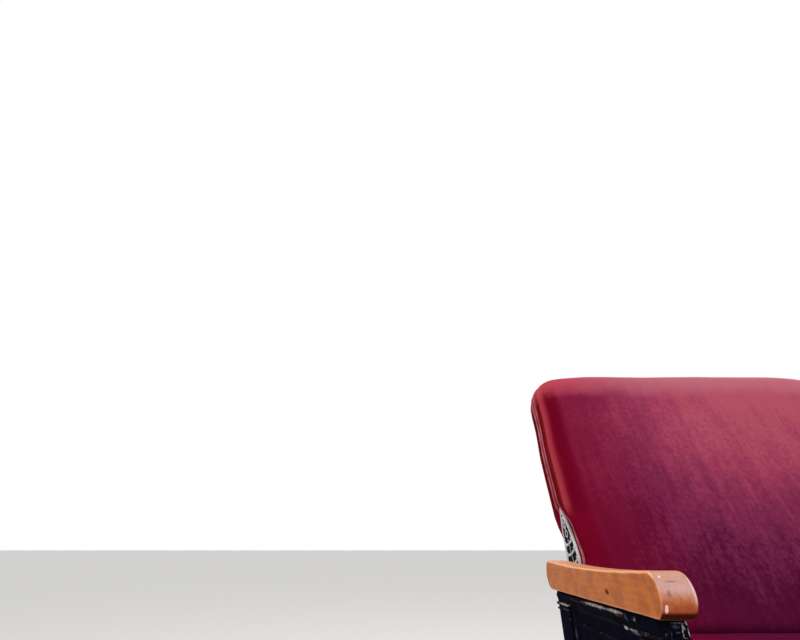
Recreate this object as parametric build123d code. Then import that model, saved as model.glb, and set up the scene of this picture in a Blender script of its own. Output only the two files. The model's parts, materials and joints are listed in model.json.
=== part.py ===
from build123d import *
import math
import os

os.makedirs("parts", exist_ok=True)

# A reversible two-place coach seat. X runs along the seat with the aisle end at -X, the sitter faces -Y
# and +Z is up. The origin is on the floor, at the centre of the four floor bolts. Lengths are in mm.

# How far a cutter reaches past the face that it opens
cut_over = 1.0

# Across the seat, from the middle of the seat outwards
back_width = 884.0
pad_iron_gap = 0.3
side_iron_thick = 8.0
link_gap = 3.2
guide_arm_thick = 6.0
main_arm_thick = 7.0
washer_gap = 0.3
boss_height = 18.0
frame_thick = 38.0
leg_thick = 24.0
armrest_overhang = 7.0
armrest_width = 52.5
cushion_side_gap = 8.3

iron_in = back_width / 2 + pad_iron_gap
iron_out = iron_in + side_iron_thick
guide_in = iron_out + link_gap
guide_out = guide_in + guide_arm_thick
main_in = guide_out + link_gap
main_out = main_in + main_arm_thick
boss_face = main_out + washer_gap
frame_in = boss_face + boss_height
frame_out = frame_in + frame_thick
leg_out = frame_in + leg_thick
armrest_in = frame_in - armrest_overhang

# Seat cushion
cushion_depth = 396.0
cushion_top = 430.0
cushion_corner_r = 46.0
cushion_top_r = 42.0
cushion_base_r = 12.0
cushion_crown = 6.0

# Walkover linkage: the main arm swings the back over the cushion, the guide arm sets its slope
main_pivot_z = 165.0
pivot_overhang = 58.3
pivot_rise = 19.6
back_rake = 16.0
guide_drop = 70.0
pin_r = 8.0
eye_pin_r = 6.0
snug_fit = 0.02
running_fit = 0.05
eye_play = 1.5
main_eye_r = 15.0
main_tip_r = 14.0
guide_eye_r = 14.0
pin_head_r = 12.0
pin_head_thick = 4.0


def polar(length, degrees):
    """Gives the y and z of a length that leans by an angle from upright towards +Y."""
    lean = math.radians(degrees)
    return length * math.sin(lean), length * math.cos(lean)


back_pivot_y = cushion_depth / 2 + pivot_overhang
back_pivot_z = cushion_top + pivot_rise
arm_height = back_pivot_z - main_pivot_z
main_arm_length = math.hypot(back_pivot_y, arm_height)
swing_half_angle = math.degrees(math.atan2(back_pivot_y, arm_height))
drop_y, drop_z = polar(guide_drop, back_rake)
guide_eye_y = back_pivot_y - drop_y
guide_eye_z = back_pivot_z - drop_z
guide_mid_z = main_pivot_z + main_arm_length - guide_drop
guide_pivot_z = (guide_mid_z ** 2 - guide_eye_y ** 2 - guide_eye_z ** 2) / (2 * (guide_mid_z - guide_eye_z))
guide_half_angle = math.degrees(math.atan2(guide_eye_y, guide_eye_z - guide_pivot_z))

# Armrest
armrest_length = 470.0
armrest_thick = 55.0
armrest_top = 550.0
armrest_dip = 6.0
nose_bulge = 18.0
armrest_edge_r = 4.0
armrest_inner_r = 11.0
nose_corner_r = 13.0
armrest_bottom = armrest_top - armrest_thick

# Seat rails and cushion tray: the rails stand clear of the guide arms at both ends of their swing
rail_depth = 24.0
rail_height = 34.0
rail_top = 296.0
rail_wall = 5.0
rail_clearance = 3.5
tie_width = 40.0
tie_thick = 6.0
tie_count = 3
seat_gap = 0.3
tray_height = 34.0
tray_board = 12.0
tray_wall = 22.0
tray_inset = 4.0
guide_slope = math.radians(guide_half_angle)
rail_beside_arm = (guide_eye_r + rail_clearance) / math.cos(guide_slope)
rail_inner = rail_beside_arm + (rail_top - guide_pivot_z) * math.tan(guide_slope)
rail_outer = rail_inner + rail_depth

# End frame casting, whose posts end flush with the rails
post_end = rail_outer
post_depth = 60.0
panel_height = 115.0
opening_sill_z = 215.0
block_z = 250.0
block_height = 30.0
block_proud = 6.0
opening_r = 34.0
panel_recess = 9.0
panel_margin = 17.0
bead_r = 3.5
bead_drop = 8.5
flute_r = 3.8
flute_count = 3
flute_top_gap = 60.0
web_top_in = 2.0
leg_waist_in = 12.0
leg_waist_drop = 15.0
leg_knee_in = 3.0
leg_knee_rise = 20.0
leg_curve_r = 60.0
toe_inset = 5.0
toe_rise = 14.0
toe_r = 10.0
heel_run = 22.0
heel_rise = 40.0
heel_r = 24.0
arch_height = 98.0
arch_run = 66.0
arch_r = 40.0
sharp_r = 1.0
foot_length = 92.0
foot_thick = 12.0
foot_toe = 268.0
foot_inset = 36.0
floor_bolt_r = 6.5
bolt_from_edge = 14.0
boss_r = 20.0
stop_r = 8.0
stop_reach = 45.0
stop_gap = 0.3

# Back, measured along its own slope from the back pivot
back_thick = 120.0
back_top = 616.0
back_bottom = 52.0
board_thick = 14.0
board_inset = 6.0
pad_crown = 7.0
pad_edge_r = 32.0
pad_top_corner_r = 68.0
pad_low_corner_r = 34.0

# Side iron
tip_s = 228.0
plate_wide_s = 98.0
plate_half = 38.0
neck_s = 60.0
neck_half = 17.0
shank_half = 25.0
shank_round = 24.0
lancet_swell_half = 23.6
lancet_swell_s = 173.4
waist_half = 29.2
waist_s = 75.0
plate_rim = 6.0
plate_recess = 2.5


def yz_prism(sketch, x_low, x_high):
    """Extrudes a sketch that is drawn in Y and Z between two x places."""
    return extrude(Plane.YZ.offset(x_low) * sketch, x_high - x_low)


def block(x_span, y_span, z_span):
    """Makes a box between two limits on each axis."""
    spans = (x_span, y_span, z_span)
    sizes = [high - low for low, high in spans]
    middle = [(high + low) / 2 for low, high in spans]
    return Pos(*middle) * Box(*sizes)


def x_rod(radius, x_low, x_high, y, z):
    """Makes a round bar along X."""
    return Pos((x_low + x_high) / 2, y, z) * Rot(0, 90, 0) * Cylinder(radius, x_high - x_low)


def rounded_outline(corners):
    """Makes a face from corners given as y, z and corner radius."""
    points = [(y, z) for y, z, radius in corners]
    return make_face(FilletPolyline(*points, radius=[radius for y, z, radius in corners], close=True))


def both_sides(half):
    """Adds the mirror of a half outline across y = 0, for corners listed from the top down."""
    return half + [(-y, z, radius) for y, z, radius in reversed(half)]


def link(thick_low, thick_high, low_end, low_r, high_end, high_r):
    """Makes a flat link between two round eyes, each end given as y and z."""
    outline = make_hull(
        (Pos(*low_end) * Circle(low_r)).edges() + (Pos(*high_end) * Circle(high_r)).edges()
    )
    return yz_prism(outline, thick_low, thick_high)


# Armrest

def armrest():
    """Makes the wooden armrest, with a rounded nose at both ends and a slightly hollow top."""
    half = armrest_length / 2
    shoulder = half - nose_bulge
    mid_z = (armrest_top + armrest_bottom) / 2
    top = ThreePointArc((-shoulder, armrest_top), (0, armrest_top - armrest_dip), (shoulder, armrest_top))
    nose = ThreePointArc((shoulder, armrest_top), (half, mid_z), (shoulder, armrest_bottom))
    base = Line((shoulder, armrest_bottom), (-shoulder, armrest_bottom))
    tail = ThreePointArc((-shoulder, armrest_bottom), (-half, mid_z), (-shoulder, armrest_top))
    arm = yz_prism(make_face([top, nose, base, tail]), armrest_in, armrest_in + armrest_width)
    arm = fillet(arm.edges().filter_by(Axis.X).sort_by(Axis.Z)[-2:], nose_corner_r)
    inner = arm.faces().filter_by(Axis.X).sort_by(Axis.X)[0].edges().sort_by(Axis.Z)
    arm = fillet(inner[1:], armrest_inner_r)
    return fillet(arm.faces().filter_by(Axis.X).sort_by(Axis.X)[-1].edges(), armrest_edge_r)


# End frame

def leg_web():
    """Makes the lower web with its two legs and the arch between them."""
    heel = foot_toe - foot_length
    half = [
        (post_end - web_top_in, block_z + block_height / 2, sharp_r),
        (post_end - leg_waist_in, opening_sill_z - leg_waist_drop, leg_curve_r),
        (post_end - leg_knee_in, arch_height + leg_knee_rise, leg_curve_r),
        (foot_toe - toe_inset, foot_thick + toe_rise, toe_r),
        (foot_toe, 0, sharp_r),
        (heel, 0, sharp_r),
        (heel - heel_run, foot_thick + heel_rise, heel_r),
        (heel - arch_run, arch_height, arch_r),
    ]
    return yz_prism(rounded_outline(both_sides(half)), frame_in, leg_out)


def foot_pads():
    """Makes the two floor pads of one end frame."""
    pads = Part()
    for sign in (-1, 1):
        span = sorted((sign * foot_toe, sign * (foot_toe - foot_length)))
        pads += block((frame_in - foot_inset, leg_out), span, (0, foot_thick))
    return pads


def flutes():
    """Makes the cutters for the upright flutes on the end faces of the posts."""
    pitch = frame_thick / (flute_count + 1)
    low = block_z + block_height + flute_r
    high = armrest_bottom - flute_top_gap
    cutters = Part()
    for sign in (-1, 1):
        for number in range(flute_count):
            x = frame_in + pitch * (number + 1)
            y = sign * (post_end + flute_r / 4)
            cutters += Pos(x, y, (low + high) / 2) * Cylinder(flute_r, high - low)
    return cutters


def stop_lug(sign):
    """Makes the lug that the main arm rests on at one end of its swing."""
    along_y, along_z = polar(stop_reach, swing_half_angle)
    width = main_eye_r + (main_tip_r - main_eye_r) * stop_reach / main_arm_length
    side_y, side_z = polar(width + stop_gap + stop_r, swing_half_angle + 90)
    return x_rod(stop_r, main_in, frame_in, sign * (along_y + side_y), main_pivot_z + along_z + side_z)


def end_frame():
    """Makes the cast end frame: posts, panel, bead, lower web, pivot boss, stop lugs and feet."""
    frame = block((frame_in, frame_out), (-post_end, post_end), (block_z, armrest_bottom))
    for sign in (-1, 1):
        span = sorted((sign * (post_end + block_proud), sign * (post_end - post_depth)))
        knob = block((frame_in, frame_out), span, (block_z - block_height / 2, block_z + block_height / 2))
        frame += fillet(knob.edges().filter_by(Axis.X), block_proud)
    frame += leg_web() + foot_pads()
    inner = post_end - post_depth
    sill_top = armrest_bottom - panel_height
    window = [(inner, sill_top, opening_r), (inner, opening_sill_z, opening_r)]
    frame -= yz_prism(rounded_outline(both_sides(window)), frame_in - cut_over, frame_out + cut_over)
    low_field = sill_top + panel_margin
    high_field = armrest_bottom - bead_drop - bead_r - panel_margin / 2
    field = [(inner, high_field, panel_margin / 2), (inner, low_field, panel_margin / 2)]
    frame -= yz_prism(rounded_outline(both_sides(field)), frame_out - panel_recess, frame_out + cut_over)
    frame -= yz_prism(rounded_outline(both_sides(field)), frame_in - cut_over, frame_in + panel_recess)
    bead = Pos(frame_out - bead_r / 3, 0, armrest_bottom - bead_drop) * Rot(90, 0, 0)
    frame += bead * Cylinder(bead_r, 2 * post_end)
    frame -= flutes()
    boss = make_hull(
        (Pos(0, main_pivot_z) * Circle(boss_r)).edges() + (Pos(0, guide_pivot_z) * Circle(boss_r)).edges()
    )
    frame += yz_prism(boss, boss_face, leg_out + panel_recess)
    frame += stop_lug(1) + stop_lug(-1)
    frame -= x_rod(pin_r + snug_fit, main_in - cut_over, frame_out, 0, main_pivot_z)
    frame -= x_rod(pin_r + running_fit, main_in - cut_over, frame_out, 0, guide_pivot_z)
    for sign in (-1, 1):
        bolt_y = sign * (foot_toe - foot_length / 2)
        bolt_x = frame_in - foot_inset + bolt_from_edge
        frame -= Pos(bolt_x, bolt_y, foot_thick / 2) * Cylinder(floor_bolt_r, foot_thick + 2 * cut_over)
    return frame


# Rails, ties and cushion tray

def seat_rail():
    """Makes the rear angle rail that carries the cushion between the end frames."""
    flat = block((-frame_in, frame_in), (rail_inner, rail_outer), (rail_top - rail_wall, rail_top))
    web_span = (rail_outer - rail_wall, rail_outer)
    web = block((-frame_in, frame_in), web_span, (rail_top - rail_height, rail_top))
    return flat + web


def rail_ties():
    """Makes the flat ties under the rails."""
    outer = rail_outer - rail_wall
    pitch = back_width / (tie_count + 1)
    ties = Part()
    for number in range(tie_count):
        x = pitch * (number + 1) - back_width / 2
        span = (x - tie_width / 2, x + tie_width / 2)
        ties += block(span, (-outer, outer), (rail_top - rail_wall - tie_thick, rail_top - rail_wall))
    return ties


def cushion_half_width():
    """Gives the half width of the cushion, clear of the side irons."""
    return iron_in - cushion_side_gap


def cushion_tray():
    """Makes the wooden tray that the cushion sits in."""
    half_x = cushion_half_width() - tray_inset
    half_y = cushion_depth / 2 - tray_inset
    low = rail_top + seat_gap
    tray = block((-half_x, half_x), (-half_y, half_y), (low, low + tray_height))
    hollow_x = half_x - tray_wall
    hollow_y = half_y - tray_wall
    ceiling = low + tray_height - tray_board
    return tray - block((-hollow_x, hollow_x), (-hollow_y, hollow_y), (low - cut_over, ceiling))


def seat_cushion():
    """Makes the seat cushion with a crowned top and rolled edges."""
    half_x = cushion_half_width()
    half_y = cushion_depth / 2
    low = rail_top + seat_gap + tray_height + seat_gap
    shoulder = cushion_top - cushion_crown
    crown = ThreePointArc((-half_y, shoulder), (0, cushion_top), (half_y, shoulder))
    sides = Polyline((half_y, shoulder), (half_y, low), (-half_y, low), (-half_y, shoulder))
    pad = yz_prism(make_face([crown, sides]), -half_x, half_x)
    pad = fillet(pad.edges().filter_by(Axis.Z), cushion_corner_r)
    pad = fillet(pad.faces().sort_by(Axis.Z)[-1].edges(), cushion_top_r)
    return fillet(pad.faces().sort_by(Axis.Z)[0].edges(), cushion_base_r)


# Back, built upright about its pivot and then leaned

def on_back(piece):
    """Leans a piece that was built upright and sets it on the back pivot."""
    return Pos(0, back_pivot_y, back_pivot_z) * Rot(-back_rake, 0, 0) * piece


def back_pad(sign):
    """Makes one crowned and padded face of the back, the front one for a sign of -1."""
    half = back_width / 2
    near, far = sign * (board_thick / 2 + seat_gap), sign * back_thick / 2
    shoulder = far - sign * pad_crown
    crown = ThreePointArc((shoulder, -back_bottom), (far, (back_top - back_bottom) / 2), (shoulder, back_top))
    sides = Polyline((shoulder, back_top), (near, back_top), (near, -back_bottom), (shoulder, -back_bottom))
    pad = yz_prism(make_face([crown, sides]), -half, half)
    upright = pad.edges().filter_by(Axis.Y)
    pad = fillet(upright.sort_by(Axis.Z)[-2:], pad_top_corner_r)
    upright = pad.edges().filter_by(Axis.Y)
    pad = fillet(upright.sort_by(Axis.Z)[:2], pad_low_corner_r)
    outer = pad.faces().sort_by(Axis.Y)[-1 if sign > 0 else 0]
    return fillet(outer.edges(), pad_edge_r)


def back_board():
    """Makes the wooden board between the pads, with a batten behind each side iron."""
    half = back_width / 2 - board_inset
    thick = (-board_thick / 2, board_thick / 2)
    board = block((-half, half), thick, (board_inset - back_bottom, back_top - board_inset))
    board = fillet(board.edges().filter_by(Axis.Y).sort_by(Axis.Z)[-2:], pad_top_corner_r - board_inset)
    return board + block((-back_width / 2, back_width / 2), thick, (0, tip_s / 2))


def iron_outline():
    """Draws the side iron: a lancet plate over a plain shank that ends round."""
    edges = []
    for sign in (-1, 1):
        tip, wide, neck = (0, tip_s), (sign * plate_half, plate_wide_s), (sign * neck_half, neck_s)
        low = (sign * shank_half, -guide_drop)
        swell, waist = (sign * lancet_swell_half, lancet_swell_s), (sign * waist_half, waist_s)
        edges += [ThreePointArc(tip, swell, wide), ThreePointArc(wide, waist, neck), Line(neck, low)]
    left, right = (-shank_half, -guide_drop), (shank_half, -guide_drop)
    edges.append(ThreePointArc(left, (0, -guide_drop - shank_round), right))
    return make_face(edges)


def side_iron():
    """Makes the cast iron on the side of the back, with a sunk field inside the plate's rim."""
    outline = iron_outline()
    iron = yz_prism(outline, iron_in, iron_out)
    keep = Pos(0, (tip_s + plate_wide_s) / 2) * Rectangle(plate_half * 2, tip_s - neck_s)
    field = offset(outline & keep, -plate_rim)
    iron -= yz_prism(field, iron_out - plate_recess, iron_out + cut_over)
    iron -= x_rod(pin_r + snug_fit, iron_in - cut_over, iron_out + cut_over, 0, 0)
    iron -= x_rod(eye_pin_r + snug_fit, iron_in - cut_over, iron_out + cut_over, 0, -guide_drop)
    return on_back(iron)


def back_pivot_bolt():
    """Makes the headed bolt that joins the side iron to the main arm."""
    shank = x_rod(pin_r, iron_in, main_out + washer_gap, 0, 0)
    head = x_rod(pin_head_r, main_out + washer_gap, main_out + washer_gap + pin_head_thick, 0, 0)
    return on_back(shank + head)


def guide_eye_pin():
    """Makes the pin that carries the guide arm's upper eye."""
    return on_back(x_rod(eye_pin_r, iron_in, guide_out + washer_gap, 0, -guide_drop))


# Links

def main_arm():
    """Makes the main arm from its pivot on the end frame to the back pivot."""
    arm = link(main_in, main_out, (0, main_pivot_z), main_eye_r, (back_pivot_y, back_pivot_z), main_tip_r)
    for y, z in ((0, main_pivot_z), (back_pivot_y, back_pivot_z)):
        arm -= x_rod(pin_r + running_fit, main_in - cut_over, main_out + cut_over, y, z)
    return arm


def guide_arm():
    """Makes the guide arm, whose upper eye has play on its pin."""
    arm = link(guide_in, guide_out, (0, guide_pivot_z), guide_eye_r, (guide_eye_y, guide_eye_z), guide_eye_r)
    low, high = guide_in - cut_over, guide_out + cut_over
    arm -= x_rod(pin_r + snug_fit, low, high, 0, guide_pivot_z)
    return arm - x_rod(eye_pin_r + eye_play, low, high, guide_eye_y, guide_eye_z)


def main_pivot_pin():
    """Makes the fixed pin that the main arm turns on."""
    return x_rod(pin_r, main_in, leg_out + panel_recess, 0, main_pivot_z)


def guide_shaft():
    """Makes the cross shaft that turns both guide arms together."""
    reach = leg_out + panel_recess + washer_gap
    shaft = x_rod(pin_r, -reach, reach, 0, guide_pivot_z)
    for span in ((reach, reach + pin_head_thick), (-reach - pin_head_thick, -reach)):
        shaft += x_rod(pin_head_r, span[0], span[1], 0, guide_pivot_z)
    return shaft


pieces = {
    "front_rail": mirror(seat_rail(), Plane.XZ),
    "rear_rail": seat_rail(),
    "rail_ties": rail_ties(),
    "cushion_tray": cushion_tray(),
    "seat_cushion": seat_cushion(),
    "back_pad_front": on_back(back_pad(-1)),
    "back_pad_rear": on_back(back_pad(1)),
    "back_board": on_back(back_board()),
    "guide_shaft": guide_shaft(),
}
paired = {
    "end_frame": end_frame(),
    "armrest": armrest(),
    "side_iron": side_iron(),
    "back_pivot_bolt": back_pivot_bolt(),
    "guide_eye_pin": guide_eye_pin(),
    "main_arm": main_arm(),
    "guide_arm": guide_arm(),
    "main_pivot_pin": main_pivot_pin(),
}
for name, piece in paired.items():
    pieces[name + "_wall"] = piece
    pieces[name + "_aisle"] = mirror(piece, Plane.YZ)

for name, piece in pieces.items():
    export_step(piece, "parts/" + name + ".step")
print("pivots", round(back_pivot_y, 4), round(back_pivot_z, 4), round(guide_pivot_z, 4))
print("swing", round(2 * swing_half_angle, 4), "guide", round(2 * guide_half_angle, 4))
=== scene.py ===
import json
import logging
import math
from collections.abc import Callable, Iterator
from contextlib import contextmanager
from dataclasses import dataclass, field
from enum import Enum
from typing import Any

import bmesh
import bpy
import numpy as np
from mathutils import Matrix, Vector, noise


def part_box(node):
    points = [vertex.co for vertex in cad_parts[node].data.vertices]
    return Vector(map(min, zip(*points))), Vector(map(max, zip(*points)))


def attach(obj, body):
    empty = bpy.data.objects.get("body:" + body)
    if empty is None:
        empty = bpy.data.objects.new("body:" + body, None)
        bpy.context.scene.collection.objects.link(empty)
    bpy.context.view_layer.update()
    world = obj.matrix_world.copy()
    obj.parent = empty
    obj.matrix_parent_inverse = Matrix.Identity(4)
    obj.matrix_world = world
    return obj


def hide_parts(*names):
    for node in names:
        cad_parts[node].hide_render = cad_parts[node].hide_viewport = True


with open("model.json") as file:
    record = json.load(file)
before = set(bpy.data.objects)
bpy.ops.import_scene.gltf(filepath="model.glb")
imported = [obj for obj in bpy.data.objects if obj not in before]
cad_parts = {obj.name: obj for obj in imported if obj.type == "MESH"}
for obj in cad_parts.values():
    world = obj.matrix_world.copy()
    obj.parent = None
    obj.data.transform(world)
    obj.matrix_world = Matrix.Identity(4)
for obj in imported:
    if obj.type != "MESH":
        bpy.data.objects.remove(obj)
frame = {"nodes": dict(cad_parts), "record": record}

LOG = logging.getLogger("coach_seat")
Colour = tuple[float, float, float, float]
Point = tuple[float, float, float]
Layer = tuple[float, float, float]
Span = tuple[float, float]
Path = tuple[tuple[float, float], ...]
Stops = tuple[tuple[float, Colour], ...]
Socket = bpy.types.NodeSocket
Piece = bpy.types.Object

# The angles in degrees from which edges stay sharp: on stuffed, carved and cast pieces, and on turned ones.
ROUNDED = 60.0
TURNED = 40.0


def srgb(red: int, green: int, blue: int) -> Colour:
    """Turns a colour as a screen shows it into the linear colour that shaders take.

    Args:
        red: Red from 0 to 255.
        green: Green from 0 to 255.
        blue: Blue from 0 to 255.

    Returns:
        The linear colour with full alpha.
    """
    shown = [part / 255 for part in (red, green, blue)]
    linear = [part / 12.92 if part <= 0.04045 else ((part + 0.055) / 1.055) ** 2.4 for part in shown]
    return linear[0], linear[1], linear[2], 1.0


class Side(Enum):
    """The two ends of the seat, by the sign of their X."""

    AISLE = -1
    WALL = 1

    @property
    def label(self) -> str:
        """Gives the word that ends the names of this side's pieces."""
        return self.name.lower()


class Part(Enum):
    """The kinds of mesh element that can be picked in edit mode, with the mode that shows them."""

    EDGES = (False, True, False)
    FACES = (False, False, True)


# Modelling tools

def deselect() -> None:
    """Leaves no object selected."""
    bpy.ops.object.select_all(action="DESELECT")


def take_up(piece: Piece) -> None:
    """Selects one piece alone and makes it active.

    Args:
        piece: The piece.
    """
    deselect()
    piece.select_set(True)
    bpy.context.view_layer.objects.active = piece


@contextmanager
def edit_mode(piece: Piece) -> Iterator[None]:
    """Holds a piece in edit mode while the operators in the block work on it.

    Args:
        piece: The piece to edit.
    """
    take_up(piece)
    bpy.ops.object.mode_set(mode="EDIT")
    try:
        yield
    finally:
        bpy.ops.object.mode_set(mode="OBJECT")


def pick(piece: Piece, part: Part, test: Callable[[Any], bool]) -> None:
    """Selects, in edit mode, the elements of a piece that pass a test, and nothing else.

    Args:
        piece: The piece that is in edit mode.
        part: The kind of element to select.
        test: Says whether an element is wanted.
    """
    bpy.context.tool_settings.mesh_select_mode = part.value
    bpy.ops.mesh.select_all(action="DESELECT")
    mesh = bmesh.from_edit_mesh(piece.data)
    for element in getattr(mesh, part.name.lower()):
        if test(element):
            element.select_set(True)
    mesh.select_flush_mode()
    bmesh.update_edit_mesh(piece.data)


def round_off(piece: Piece, part: Part, test: Callable[[Any], bool], reach: float, segments: int) -> None:
    """Bevels the edges of the elements that pass a test.

    Args:
        piece: The piece to change.
        part: The kind of element that is tested.
        test: Says whether an element is wanted.
        reach: How far the bevel reaches, in metres.
        segments: How many facets it has.
    """
    with edit_mode(piece):
        pick(piece, part, test)
        bpy.ops.mesh.bevel(offset=reach, segments=segments, affect="EDGES")


def middle(edge: bmesh.types.BMEdge) -> Vector:
    """Gives the middle of an edge."""
    return (edge.verts[0].co + edge.verts[1].co) / 2


def runs_along(edge: bmesh.types.BMEdge, axis: int) -> bool:
    """Says whether an edge is parallel to an axis, given as 0, 1 or 2."""
    along = (edge.verts[1].co - edge.verts[0].co).normalized()
    return abs(along[axis]) > 0.999


def settle(piece: Piece) -> Piece:
    """Moves a piece's place, turn and scale into its mesh, so that its object sits at the origin.

    Args:
        piece: The piece.

    Returns:
        The same piece.
    """
    take_up(piece)
    bpy.ops.object.transform_apply(location=True, rotation=True, scale=True)
    return piece


def named(name: str, scale: Point | None = None) -> Piece:
    """Names the piece that was just added, scales it where that is asked for, and settles it.

    Args:
        name: The piece's name.
        scale: Its scale along X, Y and Z, where it isn't set yet.

    Returns:
        The same piece.
    """
    piece = bpy.context.active_object
    piece.name = piece.data.name = name
    piece.scale = scale or piece.scale
    return settle(piece)


def add_block(name: str, low: Point, high: Point) -> Piece:
    """Adds a cube between two corners.

    Args:
        name: The piece's name.
        low: The lowest corner, in metres.
        high: The highest corner, in metres.

    Returns:
        The new piece.
    """
    deselect()
    centre = [(a + b) / 2 for a, b in zip(low, high)]
    size = [b - a for a, b in zip(low, high)]
    bpy.ops.mesh.primitive_cube_add(size=1.0, location=centre, scale=size)
    return named(name)


def add_disc(name: str, radius: float, start: Point, depth: float, axis: int, sides: int = 32) -> Piece:
    """Adds a round bar or disc that starts at a point and runs along an axis.

    Args:
        name: The piece's name.
        radius: Its radius in metres.
        start: The middle of its first end.
        depth: Its length, negative to run the other way.
        axis: 0, 1 or 2 for X, Y or Z.
        sides: How many sides the round has.

    Returns:
        The new piece.
    """
    deselect()
    turn = ((0.0, math.pi / 2, 0.0), (math.pi / 2, 0.0, 0.0), (0.0, 0.0, 0.0))[axis]
    centre = list(start)
    centre[axis] += depth / 2
    bpy.ops.mesh.primitive_cylinder_add(
        vertices=sides, radius=radius, depth=abs(depth), location=centre, rotation=turn
    )
    return named(name)


def add_ball(name: str, centre: Point, size: Point, turn: Point = (0.0, 0.0, 0.0)) -> Piece:
    """Adds a ball that is squeezed to three half sizes and turned.

    Args:
        name: The piece's name.
        centre: Its middle.
        size: Its half sizes along X, Y and Z before it is turned.
        turn: Its turn about X, Y and Z in radians.

    Returns:
        The new piece.
    """
    deselect()
    bpy.ops.mesh.primitive_uv_sphere_add(
        segments=20, ring_count=10, radius=1.0, location=centre, rotation=turn
    )
    return named(name, size)


def add_ring(name: str, centre: Point, half_y: float, half_z: float, thick: float) -> Piece:
    """Adds an upright ring or oval that faces along X.

    Args:
        name: The piece's name.
        centre: Its middle.
        half_y: Half its width along Y, to the middle of its bar.
        half_z: Half its height along Z, to the middle of its bar.
        thick: The radius of its bar.

    Returns:
        The new piece.
    """
    deselect()
    bpy.ops.mesh.primitive_torus_add(
        major_segments=28, minor_segments=8, major_radius=1.0, minor_radius=0.25, location=centre,
        rotation=(0.0, math.pi / 2, 0.0),
    )
    return named(name, (half_z, half_y, thick * 4))


def finish_with(piece: Piece, kind: str, **settings: Any) -> Piece:
    """Adds a modifier to a piece and applies it.

    Args:
        piece: The piece to change.
        kind: The modifier's type.
        **settings: The modifier's settings by name.

    Returns:
        The same piece.
    """
    modifier = piece.modifiers.new(kind.title(), kind)
    for name, value in settings.items():
        setattr(modifier, name, value)
    take_up(piece)
    bpy.ops.object.modifier_apply(modifier=modifier.name)
    return piece


def join(pieces: list[Piece], name: str) -> Piece:
    """Joins several pieces into the first one and renames it.

    Args:
        pieces: The pieces, of which the first one stays.
        name: Its new name.

    Returns:
        The joined piece.
    """
    deselect()
    for piece in pieces:
        piece.select_set(True)
    bpy.context.view_layer.objects.active = pieces[0]
    bpy.ops.object.join()
    pieces[0].name = pieces[0].data.name = name
    return pieces[0]


def copy_of(piece: Piece, name: str) -> Piece:
    """Copies a piece with a mesh of its own.

    Args:
        piece: The piece to copy.
        name: The copy's name.

    Returns:
        The copy.
    """
    double = bpy.data.objects.new(name, piece.data.copy())
    double.data.name = name
    bpy.context.scene.collection.objects.link(double)
    return double


def both_sides(piece: Piece) -> tuple[tuple[Side, Piece], ...]:
    """Mirrors a piece of the wall side for the aisle side, with its faces turned outwards again.

    Args:
        piece: The piece of the wall side.

    Returns:
        Each side with its piece.
    """
    double = copy_of(piece, piece.name.replace(Side.WALL.label, Side.AISLE.label))
    double.scale = (-1.0, 1.0, 1.0)
    settle(double)
    with edit_mode(double):
        bpy.ops.mesh.select_all(action="SELECT")
        bpy.ops.mesh.normals_make_consistent(inside=False)
    return (Side.AISLE, double), (Side.WALL, piece)


def copy_node(node: str, name: str) -> Piece:
    """Copies a node's mesh into a new piece and merges its loose triangles.

    Args:
        node: The node's name.
        name: The copy's name.

    Returns:
        The copy.
    """
    double = copy_of(frame["nodes"][node], name)
    double.data.materials.clear()
    with edit_mode(double):
        bpy.ops.mesh.select_all(action="SELECT")
        bpy.ops.mesh.remove_doubles(threshold=0.00001)
    return double


def soften(piece: Piece, voxel: float, rounds: int) -> Piece:
    """Rebuilds a piece as an even net of voxels and smooths it in rounds, as a casting's edges are."""
    finish_with(piece, "REMESH", mode="VOXEL", voxel_size=voxel)
    return finish_with(piece, "SMOOTH", factor=0.5, iterations=rounds)


def read_rows(piece: Piece, kind: str) -> np.ndarray:
    """Reads three numbers for each of a piece's points.

    Args:
        piece: The piece.
        kind: What is read: co for the places, normal for the directions.

    Returns:
        One row a point.
    """
    flat = np.empty(len(piece.data.vertices) * 3, np.float32)
    piece.data.vertices.foreach_get(kind, flat)
    return flat.reshape(-1, 3).astype(float)


def get_points(piece: Piece) -> np.ndarray:
    """Gives a piece's points as rows of X, Y and Z."""
    return read_rows(piece, "co")


def get_normals(piece: Piece) -> np.ndarray:
    """Gives the direction in which a piece's surface faces at each point."""
    return read_rows(piece, "normal")


def set_points(piece: Piece, points: np.ndarray) -> None:
    """Moves a piece's points to new places."""
    piece.data.vertices.foreach_set("co", points.astype(np.float32).ravel())
    piece.data.update()


def store(piece: Piece, name: str, values: np.ndarray) -> None:
    """Keeps one value a point in a named attribute, for the finishes to read."""
    kept = piece.data.attributes.new(name, "FLOAT", "POINT")
    kept.data.foreach_set("value", values.astype(np.float32))


def store_wear(piece: Piece, spread: int = 2) -> None:
    """Keeps how far each point stands out from its neighbours, from -1 in a corner to 1 on an edge.

    Args:
        piece: The piece, with an even net.
        spread: How often the values are averaged with their neighbours'.
    """
    points, normals = get_points(piece), get_normals(piece)
    pairs = np.empty(len(piece.data.edges) * 2, np.int32)
    piece.data.edges.foreach_get("vertices", pairs)
    first, second = pairs.reshape(-1, 2).T
    count = np.bincount(pairs, minlength=len(points)).clip(1)
    spacing = np.linalg.norm(points[first] - points[second], axis=1).mean()

    def average(values: np.ndarray) -> np.ndarray:
        """Gives the mean of each point's neighbours."""
        total = np.bincount(first, values[second], len(points))
        return (total + np.bincount(second, values[first], len(points))) / count

    around = np.stack([average(points[:, axis]) for axis in range(3)], 1)
    stands_out = ((points - around) * normals).sum(1) / (0.12 * spacing)
    for _ in range(spread):
        stands_out = (stands_out + average(stands_out)) / 2
    store(piece, "wear", stands_out.clip(-1.0, 1.0))


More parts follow.
